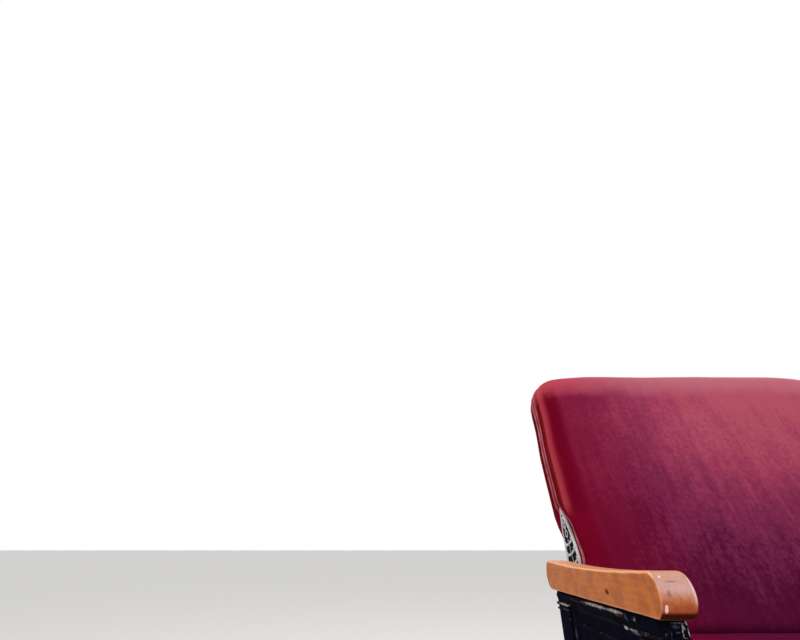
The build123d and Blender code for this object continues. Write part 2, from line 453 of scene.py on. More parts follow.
def smooth_step(values: np.ndarray, low: float, high: float) -> np.ndarray:
    """Rises smoothly from 0 at the low value to 1 at the high one."""
    share = ((values - low) / (high - low)).clip(0.0, 1.0)
    return share * share * (3 - 2 * share)


def lumps(points: np.ndarray, *layers: Layer) -> np.ndarray:
    """Gives smooth unevenness at each point.

    Args:
        points: The points in metres.
        *layers: The width and height of a layer's lumps in metres, and the seed that moves its pattern.

    Returns:
        One height a point.
    """
    total = np.zeros(len(points))
    for size, height, seed in layers:
        shift = Vector((seed, seed * 1.7, seed * 0.6))
        total += height * np.array([noise.noise(Vector(point) / size + shift) for point in points])
    return total


def arc(across: float, up: float, radius: float, first: float, turn: float, steps: int) -> list[Vector]:
    """Gives the points of an arc in a plane.

    Args:
        across: How far across its middle lies.
        up: How far up its middle lies.
        radius: Its radius in metres.
        first: The angle in degrees at which it starts.
        turn: How far it turns, in degrees.
        steps: How many straight stretches it has.

    Returns:
        The points, as places across and up.
    """
    angles = [math.radians(first + turn * step / steps) for step in range(steps + 1)]
    return [Vector((across + radius * math.cos(angle), up + radius * math.sin(angle))) for angle in angles]


def add_tube(name: str, points: list[Vector], radius: float, closed: bool) -> Piece:
    """Makes a round tube along points, as a mesh.

    Args:
        name: The piece's name.
        points: The points that it follows.
        radius: Its radius in metres.
        closed: Whether its end joins its start.

    Returns:
        The new piece.
    """
    curve = bpy.data.curves.new(name, "CURVE")
    curve.dimensions = "3D"
    curve.bevel_depth = radius
    curve.bevel_resolution = 3
    curve.use_fill_caps = not closed
    spline = curve.splines.new("POLY")
    spline.points.add(len(points) - 1)
    for place, point in zip(spline.points, points):
        place.co = (*point, 1.0)
    spline.use_cyclic_u = closed
    piece = bpy.data.objects.new(name, curve)
    bpy.context.scene.collection.objects.link(piece)
    take_up(piece)
    bpy.ops.object.convert(target="MESH")
    return bpy.context.active_object


# Shader tools

class Graph:
    """Adds nodes to a shader tree and joins them."""

    def __init__(self, tree: bpy.types.NodeTree) -> None:
        """Takes the tree that the nodes go into."""
        self.tree = tree

    def add(self, kind: str, values: dict | None = None, **settings: Any) -> bpy.types.Node:
        """Adds a node.

        Args:
            kind: The node's type.
            values: For each input, the socket that feeds it or its own value.
            **settings: The node's own settings by name.

        Returns:
            The new node.
        """
        node = self.tree.nodes.new(kind)
        for name, value in settings.items():
            setattr(node, name, value)
        self.feed(node.inputs, values or {})
        return node

    def feed(self, inputs: Any, values: dict) -> None:
        """Gives inputs their values, or joins them to the sockets that feed them.

        Args:
            inputs: The inputs of a node.
            values: For each input that is fed, its value or socket.
        """
        for key, value in values.items():
            if isinstance(value, Socket):
                self.tree.links.new(value, inputs[key])
            else:
                inputs[key].default_value = value

    def maths(self, operation: str, first: Any, second: Any = 0.0) -> Socket:
        """Works out one value from one or two others."""
        return self.add("ShaderNodeMath", {0: first, 1: second}, operation=operation).outputs[0]

    def plus(self, first: Any, second: Any) -> Socket:
        """Adds two values."""
        return self.maths("ADD", first, second)

    def minus(self, first: Any, second: Any) -> Socket:
        """Takes the second value from the first."""
        return self.maths("SUBTRACT", first, second)

    def times(self, first: Any, second: Any) -> Socket:
        """Multiplies two values."""
        return self.maths("MULTIPLY", first, second)

    def mix(self, share: Any, first: Any, second: Any) -> Socket:
        """Mixes two colours: a share of 0 gives the first one and 1 the second."""
        return self.add("ShaderNodeMix", {0: share, 6: first, 7: second}, data_type="RGBA").outputs[2]

    def over(self, base: Any, colour: Any, mask: Socket, share: float) -> Socket:
        """Lays a colour over a base where a mask is 1, so that a share of it shows."""
        return self.mix(self.times(mask, share), base, colour)

    def spread(self, value: Any, low: float, high: float, start: float = 0.0, end: float = 1.0) -> Socket:
        """Brings a value between low and high smoothly to one between start and end, and stops there."""
        values = {"Value": value, "From Min": low, "From Max": high, "To Min": start, "To Max": end}
        return self.add("ShaderNodeMapRange", values, interpolation_type="SMOOTHSTEP").outputs[0]

    def ramp(self, value: Socket, stops: Stops) -> Socket:
        """Turns a value from 0 to 1 into colours.

        Args:
            value: The value that is read.
            stops: Each place from 0 to 1 with its colour.

        Returns:
            The colour.
        """
        node = self.add("ShaderNodeValToRGB", {0: value})
        places = node.color_ramp.elements
        while len(places) < len(stops):
            places.new(0.5)
        for place, (position, colour) in zip(places, stops):
            place.position = position
            place.color = colour
        return node.outputs["Color"]

    def noise(self, vector: Socket, scale: Any, detail: float = 2.0, roughness: float = 0.5) -> Socket:
        """Gives noise from 0 to 1: the scale is in lumps a metre, and detail and roughness add finer ones."""
        values = {"Vector": vector, "Scale": scale, "Detail": detail, "Roughness": roughness}
        return self.add("ShaderNodeTexNoise", values).outputs[0]

    def place(self, vector: Socket, scale: Point = (1, 1, 1), turn: Point = (0, 0, 0)) -> Socket:
        """Stretches and turns a pattern's coordinates."""
        return self.add("ShaderNodeMapping", {"Vector": vector, "Scale": scale, "Rotation": turn}).outputs[0]

    def points(self) -> Socket:
        """Gives a piece's own coordinates in metres."""
        return self.add("ShaderNodeTexCoord").outputs["Object"]

    def axis(self, vector: Socket, name: str) -> Socket:
        """Gives X, Y or Z of a vector."""
        return self.add("ShaderNodeSeparateXYZ", {0: vector}).outputs[name]

    def stored(self, name: str) -> Socket:
        """Reads an attribute that a piece keeps."""
        return self.add("ShaderNodeAttribute", attribute_name=name).outputs["Fac"]

    def oval(self, points: Socket, centre: Point, half: Point, soft: float = 0.35) -> Socket:
        """Gives 1 inside an oval mark and 0 outside it.

        Args:
            points: The piece's coordinates.
            centre: The middle of the mark.
            half: Its half sizes along X, Y and Z.
            soft: How gradually it ends, as a share of its size.

        Returns:
            The mask.
        """
        away = self.add("ShaderNodeVectorMath", {0: points, 1: centre}, operation="SUBTRACT").outputs[0]
        away = self.add("ShaderNodeVectorMath", {0: away, 1: half}, operation="DIVIDE").outputs[0]
        length = self.add("ShaderNodeVectorMath", {0: away}, operation="LENGTH").outputs["Value"]
        ragged = self.times(self.noise(points, 400.0), 0.9)
        return self.spread(self.plus(length, ragged), 1.25 + soft / 2, 1.25 - soft / 2)

    def use(self, group: "SharedGroup", values: dict) -> Any:
        """Adds a shared group with its own values and gives its outputs."""
        return self.add("ShaderNodeGroup", values, node_tree=group.tree()).outputs

    def bump(self, height: Socket, depth: float, strength: float, under: Socket | None = None) -> Socket:
        """Turns a height into a normal.

        Args:
            height: The height from 0 to 1.
            depth: What a height of 1 is in metres.
            strength: How much of it shows.
            under: The normal of the surface that it stands on, where that has one of its own.

        Returns:
            The normal.
        """
        values = {"Height": height, "Distance": depth, "Strength": strength}
        if under is not None:
            values["Normal"] = under
        return self.add("ShaderNodeBump", values).outputs[0]


@dataclass(frozen=True)
class SharedGroup:
    """A shader group that finishes share, with its inputs, None for a vector, and what adds its nodes."""

    name: str
    inputs: dict[str, float | None]
    build: Callable[[Graph, Any], dict[str, Socket]]

    def tree(self) -> bpy.types.NodeTree:
        """Gives the group's tree, built the first time it is asked for.

        Returns:
            The tree.
        """
        if self.name in bpy.data.node_groups:
            return bpy.data.node_groups[self.name]
        tree = bpy.data.node_groups.new(self.name, "ShaderNodeTree")
        for label, value in self.inputs.items():
            kind = "NodeSocketVector" if value is None else "NodeSocketFloat"
            socket = tree.interface.new_socket(name=label, in_out="INPUT", socket_type=kind)
            if value is not None:
                socket.default_value = value
        graph = Graph(tree)
        results = self.build(graph, graph.add("NodeGroupInput").outputs)
        for label in results:
            tree.interface.new_socket(name=label, in_out="OUTPUT", socket_type="NodeSocketFloat")
        graph.add("NodeGroupOutput", results)
        return tree


def add_nap(graph: Graph, given: Any) -> dict[str, Socket]:
    """Adds the brushed pile of plush: clouds, speckle, upright streaks and the height of the pile.

    Args:
        graph: The group's graph.
        given: Its inputs.

    Returns:
        The socket of each output.
    """
    points = given["Vector"]
    cloud = graph.noise(points, given["Cloud Scale"], 5.0, 0.62)
    speckle = graph.noise(points, given["Speckle Scale"], 3.0, 0.6)
    streak = graph.noise(graph.place(points, (1.0, 0.12, 0.12)), given["Streak Scale"], 5.0, 0.7)
    pile = graph.plus(graph.noise(points, 900.0, 2.0, 0.7), graph.noise(points, 160.0, 3.0, 0.6))
    return {
        "Cloud": graph.spread(cloud, 0.30, 0.70),
        "Speckle": graph.spread(speckle, 0.34, 0.68),
        "Streak": graph.spread(streak, 0.36, 0.68),
        "Pile": graph.times(pile, 0.5),
    }


def add_wear(graph: Graph, given: Any) -> dict[str, Socket]:
    """Adds worn or chipped patches, which gather where a piece's edges stand out.

    Args:
        graph: The group's graph.
        given: Its inputs.

    Returns:
        The socket of each output.
    """
    coarse = graph.noise(given["Vector"], given["Scale"], 4.0, 0.65)
    fine = graph.noise(given["Vector"], graph.times(given["Scale"], 6.0), 3.0, 0.6)
    patches = graph.plus(coarse, graph.times(fine, 0.35))
    pulled = graph.plus(patches, graph.times(given["Edge"], given["Pull"]))
    return {"Mask": graph.spread(graph.minus(pulled, given["Level"]), 0.0, 0.05)}


def add_grain(graph: Graph, given: Any) -> dict[str, Socket]:
    """Adds the grain of timber that runs along Y: growth rings, fibres and dark pores.

    Args:
        graph: The group's graph.
        given: Its inputs.

    Returns:
        The socket of each output.
    """
    along = graph.place(given["Vector"], (1.0, 0.07, 1.0))
    bend = graph.noise(graph.place(given["Vector"], (1.0, 0.35, 1.0)), 9.0)
    height = graph.plus(graph.axis(along, "Z"), graph.times(bend, 0.05))
    rings = graph.maths("SINE", graph.times(height, given["Ring Scale"]))
    pores = graph.noise(graph.place(given["Vector"], (1.0, 0.1, 1.0)), 1100.0, 1.0)
    return {
        "Rings": graph.plus(graph.times(rings, 0.5), 0.5),
        "Fibre": graph.spread(graph.noise(along, 420.0, 4.0, 0.7), 0.3, 0.7),
        "Pores": graph.spread(pores, 0.60, 0.72),
    }


def add_cast_skin(graph: Graph, given: Any) -> dict[str, Socket]:
    """Adds the skin of cast metal: long soft swells with fine grit on them.

    Args:
        graph: The group's graph.
        given: Its inputs.

    Returns:
        The socket of each output.
    """
    swell = graph.noise(given["Vector"], graph.times(given["Scale"], 0.12))
    grit = graph.noise(given["Vector"], given["Scale"], 3.0, 0.6)
    return {
        "Height": graph.plus(graph.times(swell, 0.7), graph.times(grit, 0.3)),
        "Tone": graph.spread(swell, 0.3, 0.7),
    }


def add_dust(graph: Graph, given: Any) -> dict[str, Socket]:
    """Adds the dust that lies on what faces up and gathers in corners.

    Args:
        graph: The group's graph.
        given: Its inputs.

    Returns:
        The socket of each output.
    """
    up = graph.times(graph.spread(graph.axis(given["Facing"], "Z"), 0.35, 1.0), 0.8)
    corner = graph.spread(given["Edge"], -0.1, -0.8)
    patchy = graph.spread(graph.noise(given["Vector"], 28.0, 4.0, 0.6), 0.3, 0.75, 0.3, 1.0)
    cover = graph.times(graph.maths("MAXIMUM", up, corner), patchy)
    return {"Mask": graph.times(cover, given["Amount"])}


NAP = SharedGroup(
    "Nap", {"Vector": None, "Cloud Scale": 8.0, "Speckle Scale": 100.0, "Streak Scale": 45.0}, add_nap
)
WEAR = SharedGroup(
    "Edge wear", {"Vector": None, "Edge": 0.0, "Scale": 40.0, "Pull": 0.3, "Level": 0.9}, add_wear
)
GRAIN = SharedGroup("Grain", {"Vector": None, "Ring Scale": 520.0}, add_grain)
CAST_SKIN = SharedGroup("Cast skin", {"Vector": None, "Scale": 350.0}, add_cast_skin)
DUST = SharedGroup("Dust", {"Vector": None, "Facing": None, "Edge": 0.0, "Amount": 0.5}, add_dust)


# Finishes

@dataclass(frozen=True)
class Finish:
    """What every finish has: a name and the slot that it stands for."""

    name: str
    slot: str

    def material(self) -> bpy.types.Material:
        """Gives the finish's material, built the first time it is asked for.

        Returns:
            The material.
        """
        made = bpy.data.materials.get(self.name)
        if made is None:
            made = bpy.data.materials.new(self.name)
            made.use_nodes = True
            graph = Graph(made.node_tree)
            graph.feed(made.node_tree.nodes["Principled BSDF"].inputs, self.build(graph))
        return made

    def build(self, graph: Graph) -> dict[str, Any]:
        """Adds the finish's nodes and gives what feeds each input of its shader."""
        raise NotImplementedError

    def dress(self, piece: Piece, degrees: float = ROUNDED) -> None:
        """Shades a new piece smooth, gives it this finish, and reports it.

        Args:
            piece: The piece.
            degrees: The angle from which its edges stay sharp.
        """
        take_up(piece)
        bpy.ops.object.shade_smooth_by_angle(angle=math.radians(degrees))
        piece.data.materials.clear()
        piece.data.materials.append(self.material())
        LOG.info("%s has %d faces of %s", piece.name, len(piece.data.polygons), self.name.lower())

    def dress_node(self, node: str) -> None:
        """Gives a node of the frame this finish, and reports it.

        Args:
            node: The node's name.
        """
        for place in frame["nodes"][node].material_slots:
            place.material = self.material()
        LOG.info("%s stays as it is, in %s", node, self.name.lower())


@dataclass(frozen=True)
class Plush(Finish):
    """Cut pile that is purple where it is brushed, with painted light and shade: paler up high and towards
    the wall end, a painted shade near the aisle edge, painted highlights and shade on its red rolls and a
    painted highlight along its top roll.
    """

    # Tones from painted shade to painted light: the tone rises with height and towards the wall end, so that
    # low parts and the cushion take painted shade, and the nap moves it.
    tones: Stops = (
        (0.00, srgb(80, 14, 50)), (0.15, srgb(86, 20, 53)), (0.30, srgb(103, 33, 67)),
        (0.45, srgb(116, 39, 71)), (0.75, srgb(143, 55, 82)), (1.00, srgb(156, 71, 88)),
    )
    # A painted shade of deeper red near the aisle edge of each face, between near_from and near_end along X.
    near_tint: Colour = srgb(116, 9, 36)
    # The heights over which the painted light rises; near_end, far_end and near_share set how it rises along
    # X.
    faded_from: float = 0.36
    faded_to: float = 0.95
    near_from: float = -0.10
    near_end: float = -0.42
    far_end: float = 0.10
    near_share: float = 0.37
    # Below these heights the rolled rims lose their painted highlight and take low_edge, a flat painted
    # shade.
    crest_from: float = 0.635
    crest_to: float = 0.675
    low_edge: Colour = srgb(106, 7, 34)
    # Painted light and shade across a rolled rim from the seam outwards: painted shade in the groove by the
    # seam, a painted highlight on the crest of the roll, then a dark painted band where the roll meets the
    # face.
    edge_stops: Stops = (
        (0.00, srgb(84, 8, 12)), (0.20, srgb(98, 14, 20)), (0.255, srgb(112, 22, 30)),
        (0.30, srgb(156, 56, 66)), (0.40, srgb(138, 38, 52)), (0.46, srgb(104, 10, 30)),
        (0.52, srgb(96, 4, 28)), (0.72, srgb(100, 8, 36)),
    )
    # The painted highlight along the top roll and the cushion's end rolls, pinker near the aisle end.
    pale: Colour = srgb(176, 104, 118)
    near_pale: Colour = srgb(188, 76, 90)
    unevenness: tuple[tuple[str, float], ...] = (("Cloud", 0.20), ("Speckle", 0.17), ("Streak", 0.17))

    def build(self, graph: Graph) -> dict[str, Any]:
        """Adds the nodes of the plush.

        Args:
            graph: The material's graph.

        Returns:
            What feeds each input of the shader.
        """
        points = graph.points()
        along, height = graph.axis(points, "X"), graph.axis(points, "Z")
        nap = graph.use(NAP, {"Vector": points})
        # Painted light and shade: paler up high and towards the wall end.
        lit = graph.spread(along, self.near_end, self.far_end, self.near_share, 1.0)
        tone = graph.times(graph.spread(height, self.faded_from, self.faded_to), lit)
        for name, share in self.unevenness:
            tone = graph.plus(tone, graph.times(graph.minus(nap[name], 0.5), share))
        # Painted shade near the aisle edge.
        near = graph.spread(along, self.near_from, self.near_end)
        base = graph.over(graph.ramp(tone, self.tones), self.near_tint, near, 0.6)
        # Painted highlights and shade on the rolled rims, flat below the crest heights.
        edge, crown = graph.stored("edge"), graph.stored("crown")
        crested = graph.spread(height, self.crest_from, self.crest_to)
        rolled = graph.mix(crested, self.low_edge, graph.ramp(edge, self.edge_stops))
        base = graph.mix(graph.spread(edge, 0.78, 0.64), base, rolled)
        # A painted highlight along the top roll, broken up by the nap.
        uneven = graph.plus(nap["Cloud"], graph.times(nap["Speckle"], 0.4))
        crown = graph.plus(crown, graph.times(graph.minus(uneven, 0.7), 0.16))
        roll = graph.times(graph.spread(crown, 0.98, 0.50), 0.62)
        ridge = graph.times(graph.spread(crown, 0.45, 0.33), 0.25)
        base = graph.mix(graph.plus(roll, ridge), base, graph.mix(near, self.pale, self.near_pale))
        tufts = graph.bump(nap["Pile"], 0.0006, 0.5, under=graph.bump(nap["Cloud"], 0.0008, 0.4))
        return {"Base Color": base, "Roughness": 0.9, "Specular IOR Level": 0.0, "Normal": tufts}


@dataclass(frozen=True)
class Piping(Finish):
    """The worn plush of the welts, paler than the faces."""

    pale: Colour = srgb(190, 102, 112)
    dark: Colour = srgb(140, 58, 74)

    def build(self, graph: Graph) -> dict[str, Any]:
        """Adds the nodes of the piping.

        Args:
            graph: The material's graph.

        Returns:
            What feeds each input of the shader.
        """
        nap = graph.use(NAP, {"Vector": graph.points(), "Cloud Scale": 30.0})
        base, normal = graph.mix(nap["Cloud"], self.dark, self.pale), graph.bump(nap["Pile"], 0.0006, 0.6)
        return {"Base Color": base, "Roughness": 0.8, "Specular IOR Level": 0.03, "Normal": normal}


@dataclass(frozen=True)
class Timber(Finish):
    """Varnished wood, grained along the armrest and paler at worn edges; its noses have darker end grain with
    painted shade low down and under them, a pinkish painted highlight higher up and a painted highlight along
    their inner edges.
    """

    light: Colour = srgb(176, 95, 24)
    dark: Colour = srgb(138, 68, 22)
    # The noses by height: the darker end grain, with painted shade low on the nose and a pinkish painted
    # highlight higher up.
    nose: Stops = (
        (0.00, srgb(156, 66, 34)), (0.06, srgb(165, 79, 42)), (0.22, srgb(182, 106, 72)),
        (0.52, srgb(202, 158, 150)), (0.80, srgb(186, 146, 140)), (0.97, srgb(190, 140, 120)),
    )
    worn: Colour = srgb(238, 174, 130)
    grime: Colour = srgb(70, 32, 22)
    # Pale wear on the noses; along their inner edges this pale is a painted highlight.
    nose_worn: Colour = srgb(240, 200, 190)
    smudge: Colour = srgb(112, 68, 66)
    smudges: tuple[tuple[Point, Point], ...] = (
        ((-0.5200, -0.2335, 0.5250), (0.0030, 0.0080, 0.0050)),
        ((-0.5120, -0.2310, 0.5385), (0.0090, 0.0080, 0.0012)),
    )
    # Painted shade under the noses, where they curve under.
    soot: Colour = srgb(40, 10, 12)
    # The heights over which the nose turns from its painted shade to its painted highlight.
    nose_low: float = 0.505
    nose_high: float = 0.550
    under_from: float = 0.5065
    under_to: float = 0.5015
    knot: Point = (-0.5335, -0.0770, 0.5146)
    knot_half: Point = (0.006, 0.0088, 0.0052)
    heart: Colour = srgb(96, 38, 8)
    scars: tuple[tuple[Point, Point], ...] = (
        ((-0.5263, -0.2310, 0.5085), (0.0030, 0.0080, 0.0062)),
        ((-0.5232, -0.2235, 0.5432), (0.0022, 0.0060, 0.0022)),
    )

    def build(self, graph: Graph) -> dict[str, Any]:
        """Adds the nodes of the timber.

        Args:
            graph: The material's graph.

        Returns:
            What feeds each input of the shader.
        """
        points = graph.points()
        height, nosed = graph.axis(points, "Z"), graph.stored("nose")
        grain = graph.use(GRAIN, {"Vector": points, "Ring Scale": 640.0})
        base = graph.over(self.light, self.dark, grain["Rings"], 0.30)
        base = graph.over(base, self.light, grain["Fibre"], 0.40)
        base = graph.over(base, self.dark, graph.spread(graph.noise(points, 30.0, 3.0, 0.6), 0.42, 0.62), 0.6)
        uneven = graph.times(graph.minus(graph.noise(points, 110.0, 3.0), 0.5), 0.5)
        # Painted shade low on the noses and a pinkish painted highlight higher up.
        level = graph.plus(graph.spread(height, self.nose_low, self.nose_high), uneven)
        base = graph.over(base, graph.ramp(level, self.nose), nosed, 0.88)
        base = graph.over(base, self.grime, grain["Pores"], 0.35)
        knotted = graph.oval(points, self.knot, self.knot_half, soft=1.0)
        base = graph.mix(knotted, base, self.heart)
        for centre, half in self.smudges:
            base = graph.over(base, self.smudge, graph.oval(points, centre, half, soft=1.2), 0.6)
        # Worn edges, with a painted highlight along the noses' inner edges.
        rubbed = graph.mix(nosed, self.worn, self.nose_worn)
        base = graph.over(base, rubbed, graph.stored("rub"), 0.85)
        for centre, half in self.scars:
            base = graph.over(base, rubbed, graph.oval(points, centre, half), 0.9)
        wear = {"Vector": points, "Edge": graph.stored("wear"), "Scale": 60.0, "Pull": 0.60, "Level": 1.22}
        base = graph.over(base, self.worn, graph.use(WEAR, wear)["Mask"], 0.6)
        # Painted shade under the noses, with no gloss there or on the knot.
        under = graph.times(nosed, graph.spread(height, self.under_from, self.under_to))
        base = graph.over(base, self.soot, under, 0.94)
        varnish_shows = graph.minus(1.0, graph.maths("MAXIMUM", under, knotted))
        return {
            "Base Color": base,
            "Roughness": graph.spread(grain["Fibre"], 0.0, 1.0, 0.36, 0.52),
            "Specular IOR Level": graph.times(varnish_shows, 0.12),
            "Coat Weight": graph.times(varnish_shows, 0.05),
            "Coat Roughness": 0.25,
            "Normal": graph.bump(grain["Fibre"], 0.00025, 0.7),
        }


@dataclass(frozen=True)
class FrameTimber(Finish):
    """The dark stained wood of the cushion's tray and the back's board."""

    light: Colour = srgb(96, 62, 42)
    dark: Colour = srgb(52, 32, 24)

    def build(self, graph: Graph) -> dict[str, Any]:
        """Adds the nodes of the stained wood.

        Args:
            graph: The material's graph.

        Returns:
            What feeds each input of the shader.
        """
        turned = graph.place(graph.points(), turn=(0.0, 0.0, math.pi / 2))
        grain = graph.use(GRAIN, {"Vector": turned, "Ring Scale": 400.0})
        base = graph.mix(grain["Rings"], self.light, self.dark)
        base = graph.over(base, self.dark, grain["Fibre"], 0.5)
        return {"Base Color": base, "Roughness": 0.62, "Normal": graph.bump(grain["Fibre"], 0.0004, 0.8)}


@dataclass(frozen=True)
class PaintedIron(Finish):
    """Blue black paint on cast iron, chipped to pale metal along its edges."""

    paint: Colour = srgb(5, 6, 16)
    bright: Colour = srgb(10, 12, 25)
    chip: Colour = srgb(194, 188, 186)
    scratch: Colour = srgb(116, 124, 156)
    rust: Colour = srgb(62, 40, 32)
    dust: Colour = srgb(96, 88, 82)
    bare_from: float = 0.55
    # Marks with their middles, half sizes and strengths: pale chips where the strength is over bare_from and
    # bluish marks otherwise. Most are chipped and scratched paint; the thin bluish streak at the rear post's
    # inner edge, at Y 0.1421, is a painted highlight.
    marks: tuple[tuple[Point, Point, float], ...] = (
        ((-0.5285, -0.0020, 0.4886), (0.0060, 0.0580, 0.0022), 0.85),
        ((-0.5285, -0.0767, 0.4890), (0.0060, 0.0316, 0.0022), 0.90),
        ((-0.5285, 0.1582, 0.4734), (0.0060, 0.0350, 0.0022), 0.85),
        ((-0.5285, 0.1545, 0.4655), (0.0060, 0.0250, 0.0014), 0.40),
        ((-0.5230, -0.1139, 0.4852), (0.0100, 0.0050, 0.0048), 0.45),
        ((-0.5170, -0.0828, 0.4688), (0.0100, 0.0064, 0.0030), 1.00),
        ((-0.5170, -0.1172, 0.4686), (0.0100, 0.0300, 0.0019), 0.60),
        ((-0.5170, -0.1136, 0.4655), (0.0100, 0.0190, 0.0014), 0.45),
        # A painted highlight along the rear post's inner edge.
        ((-0.5190, 0.1421, 0.4270), (0.0014, 0.0050, 0.0100), 0.35),
        ((-0.4992, -0.2021, 0.4904), (0.0118, 0.0060, 0.0009), 0.55),
        ((-0.4950, -0.2021, 0.4862), (0.0022, 0.0060, 0.0044), 0.70),
        ((-0.4974, -0.2021, 0.4790), (0.0009, 0.0060, 0.0062), 0.70),
        ((-0.4886, -0.2021, 0.4908), (0.0026, 0.0060, 0.0032), 1.00),
        ((-0.4888, -0.2021, 0.4801), (0.0016, 0.0060, 0.0056), 0.85),
        ((-0.5052, -0.2021, 0.4867), (0.0060, 0.0060, 0.0026), 0.25),
        ((-0.5040, -0.2021, 0.4801), (0.0040, 0.0060, 0.0010), 0.30),
        ((-0.5140, -0.2021, 0.4780), (0.0012, 0.0060, 0.0050), 0.35),
    )

    def build(self, graph: Graph) -> dict[str, Any]:
        """Adds the nodes of the painted iron.

        Args:
            graph: The material's graph.

        Returns:
            What feeds each input of the shader.
        """
        points, edge = graph.points(), graph.stored("wear")
        skin = graph.use(CAST_SKIN, {"Vector": points, "Scale": 300.0})
        base = graph.mix(skin["Tone"], self.paint, self.bright)
        rust = {"Vector": points, "Edge": edge, "Scale": 34.0, "Pull": 0.34, "Level": 1.0}
        base = graph.over(base, self.rust, graph.use(WEAR, rust)["Mask"], 0.35)
        chips = {"Vector": points, "Edge": edge, "Scale": 60.0, "Pull": 0.32, "Level": 1.13}
        chipped = graph.use(WEAR, chips)["Mask"]
        base = graph.over(base, self.chip, chipped, 0.85)
        broken = graph.spread(graph.noise(points, 620.0, 3.0, 0.7), 0.42, 0.54)
        for centre, half, strength in self.marks:
            tone = self.chip if strength > self.bare_from else self.scratch
            mark = graph.times(graph.oval(points, centre, half, soft=0.7), broken)
            base = graph.over(base, tone, mark, strength)
        facing = graph.add("ShaderNodeTexCoord").outputs["Normal"]
        dust = {"Vector": points, "Facing": facing, "Edge": edge, "Amount": 0.10}
        dusty = graph.use(DUST, dust)["Mask"]
        rough = graph.spread(skin["Tone"], 0.0, 1.0, 0.38, 0.52)
        raised = graph.minus(skin["Height"], graph.times(chipped, 0.3))
        return {
            "Base Color": graph.mix(dusty, base, self.dust),
            "Roughness": graph.plus(rough, graph.times(dusty, 0.4)),
            "Specular IOR Level": 0.001,
            "Normal": graph.bump(raised, 0.0011, 0.55),
        }


@dataclass(frozen=True)
class Pewter(Finish):
    """The back's side irons: pewter grey where the casting stands up, near black in its sunk field."""

    raised: Colour = srgb(198, 196, 202)
    sunk: Colour = srgb(3, 7, 9)
    shank: Colour = srgb(92, 90, 88)
    shank_from: float = 0.50
    shank_to: float = 0.54

    def build(self, graph: Graph) -> dict[str, Any]:
        """Adds the nodes of the side irons.

        Args:
            graph: The material's graph.

        Returns:
            What feeds each input of the shader.
        """
        points, field_mask = graph.points(), graph.stored("field")
        skin = graph.use(CAST_SKIN, {"Vector": points, "Scale": 420.0})
        upper = graph.spread(graph.axis(points, "Z"), self.shank_from, self.shank_to)
        metal = graph.over(graph.mix(upper, self.shank, self.raised), self.shank, skin["Tone"], 0.3)
        metal = graph.over(metal, self.sunk, graph.spread(graph.stored("wear"), -0.2, -0.8), 0.7)
        return {
            "Base Color": graph.mix(field_mask, metal, self.sunk),
            "Metallic": graph.spread(field_mask, 1.0, 0.0, 0.0, 0.3),
            "Roughness": graph.spread(skin["Tone"], 0.0, 1.0, 0.38, 0.56),
            "Specular IOR Level": 0.01,
            "Normal": graph.bump(skin["Height"], 0.0006, 0.5),
        }


@dataclass(frozen=True)
class WornMetal(Finish):
    """Plain iron or steel with darker grime and brighter rubbed patches."""

    body: Colour = srgb(104, 102, 100)
    grime: Colour = srgb(44, 40, 38)
    rubbed: Colour = srgb(168, 164, 160)
    metallic: float = 0.6

    def build(self, graph: Graph) -> dict[str, Any]:
        """Adds the nodes of the worn metal.

        Args:
            graph: The material's graph.

        Returns:
            What feeds each input of the shader.
        """
        points = graph.points()
        skin = graph.use(CAST_SKIN, {"Vector": points, "Scale": 500.0})
        patches = graph.use(WEAR, {"Vector": points, "Scale": 70.0, "Pull": 0.0, "Level": 0.78})
        base = graph.over(self.body, self.grime, skin["Tone"], 0.6)
        return {
            "Base Color": graph.over(base, self.rubbed, patches["Mask"], 0.5),
            "Metallic": self.metallic,
            "Roughness": graph.spread(skin["Tone"], 0.0, 1.0, 0.34, 0.55),
            "Normal": graph.bump(skin["Height"], 0.0005, 0.5),
        }


PLUSH = Plush("Wine plush", "plush")
PIPING = Piping("Plush piping", "plush")
ARM_TIMBER = Timber("Armrest timber", "armrest_wood")
FRAME_TIMBER = FrameTimber("Stained timber", "frame_wood")
BLACK_IRON = PaintedIron("Chipped black iron", "black_iron")
PEWTER = Pewter("Pewter iron", "pewter_iron")
GREY_IRON = WornMetal("Grey iron", "grey_iron", metallic=0.45)
STEEL = WornMetal("Bare steel", "bare_steel", srgb(150, 146, 140), rubbed=srgb(205, 202, 196), metallic=0.9)


# The seat's sub-assemblies

@dataclass
class BackPlace:
    """Where the back stands, and the outline of its side irons that its pads keep clear of.

    The back's pieces are modelled upright about the pivot and then leaned.
    """

    rake: float = math.radians(16.0)
    iron_outline: Path = ((-0.060, 0.025), (0.060, 0.017), (0.098, 0.038), (0.1734, 0.0236), (0.228, 0.0))
    pivot: Vector = field(init=False)

    def __post_init__(self) -> None:
        """Reads the pivot from the frame's joints."""
        joints = {joint["name"]: joint for joint in frame["record"]["behaviour"]["joints"]}
        self.pivot = Vector(joints["back_pivot"]["pos_m"])

    @property
    def lean(self) -> Matrix:
        """Gives the move from upright about the origin to the back's place."""
        return Matrix.Translation(self.pivot) @ Matrix.Rotation(-self.rake, 4, "X")

    def iron_half(self, heights: Any) -> Any:
        """Gives half the side irons' width at heights over the pivot."""
        return np.interp(heights, *zip(*self.iron_outline))

    def stand_up(self, piece: Piece) -> Piece:
        """Brings a piece from the back's place to upright about the origin."""
        piece.matrix_world = self.lean.inverted()
        return settle(piece)

    def lay_back(self, piece: Piece) -> Piece:
        """Brings a piece that was modelled upright to the back's place."""
        piece.matrix_world = self.lean
        return settle(piece)


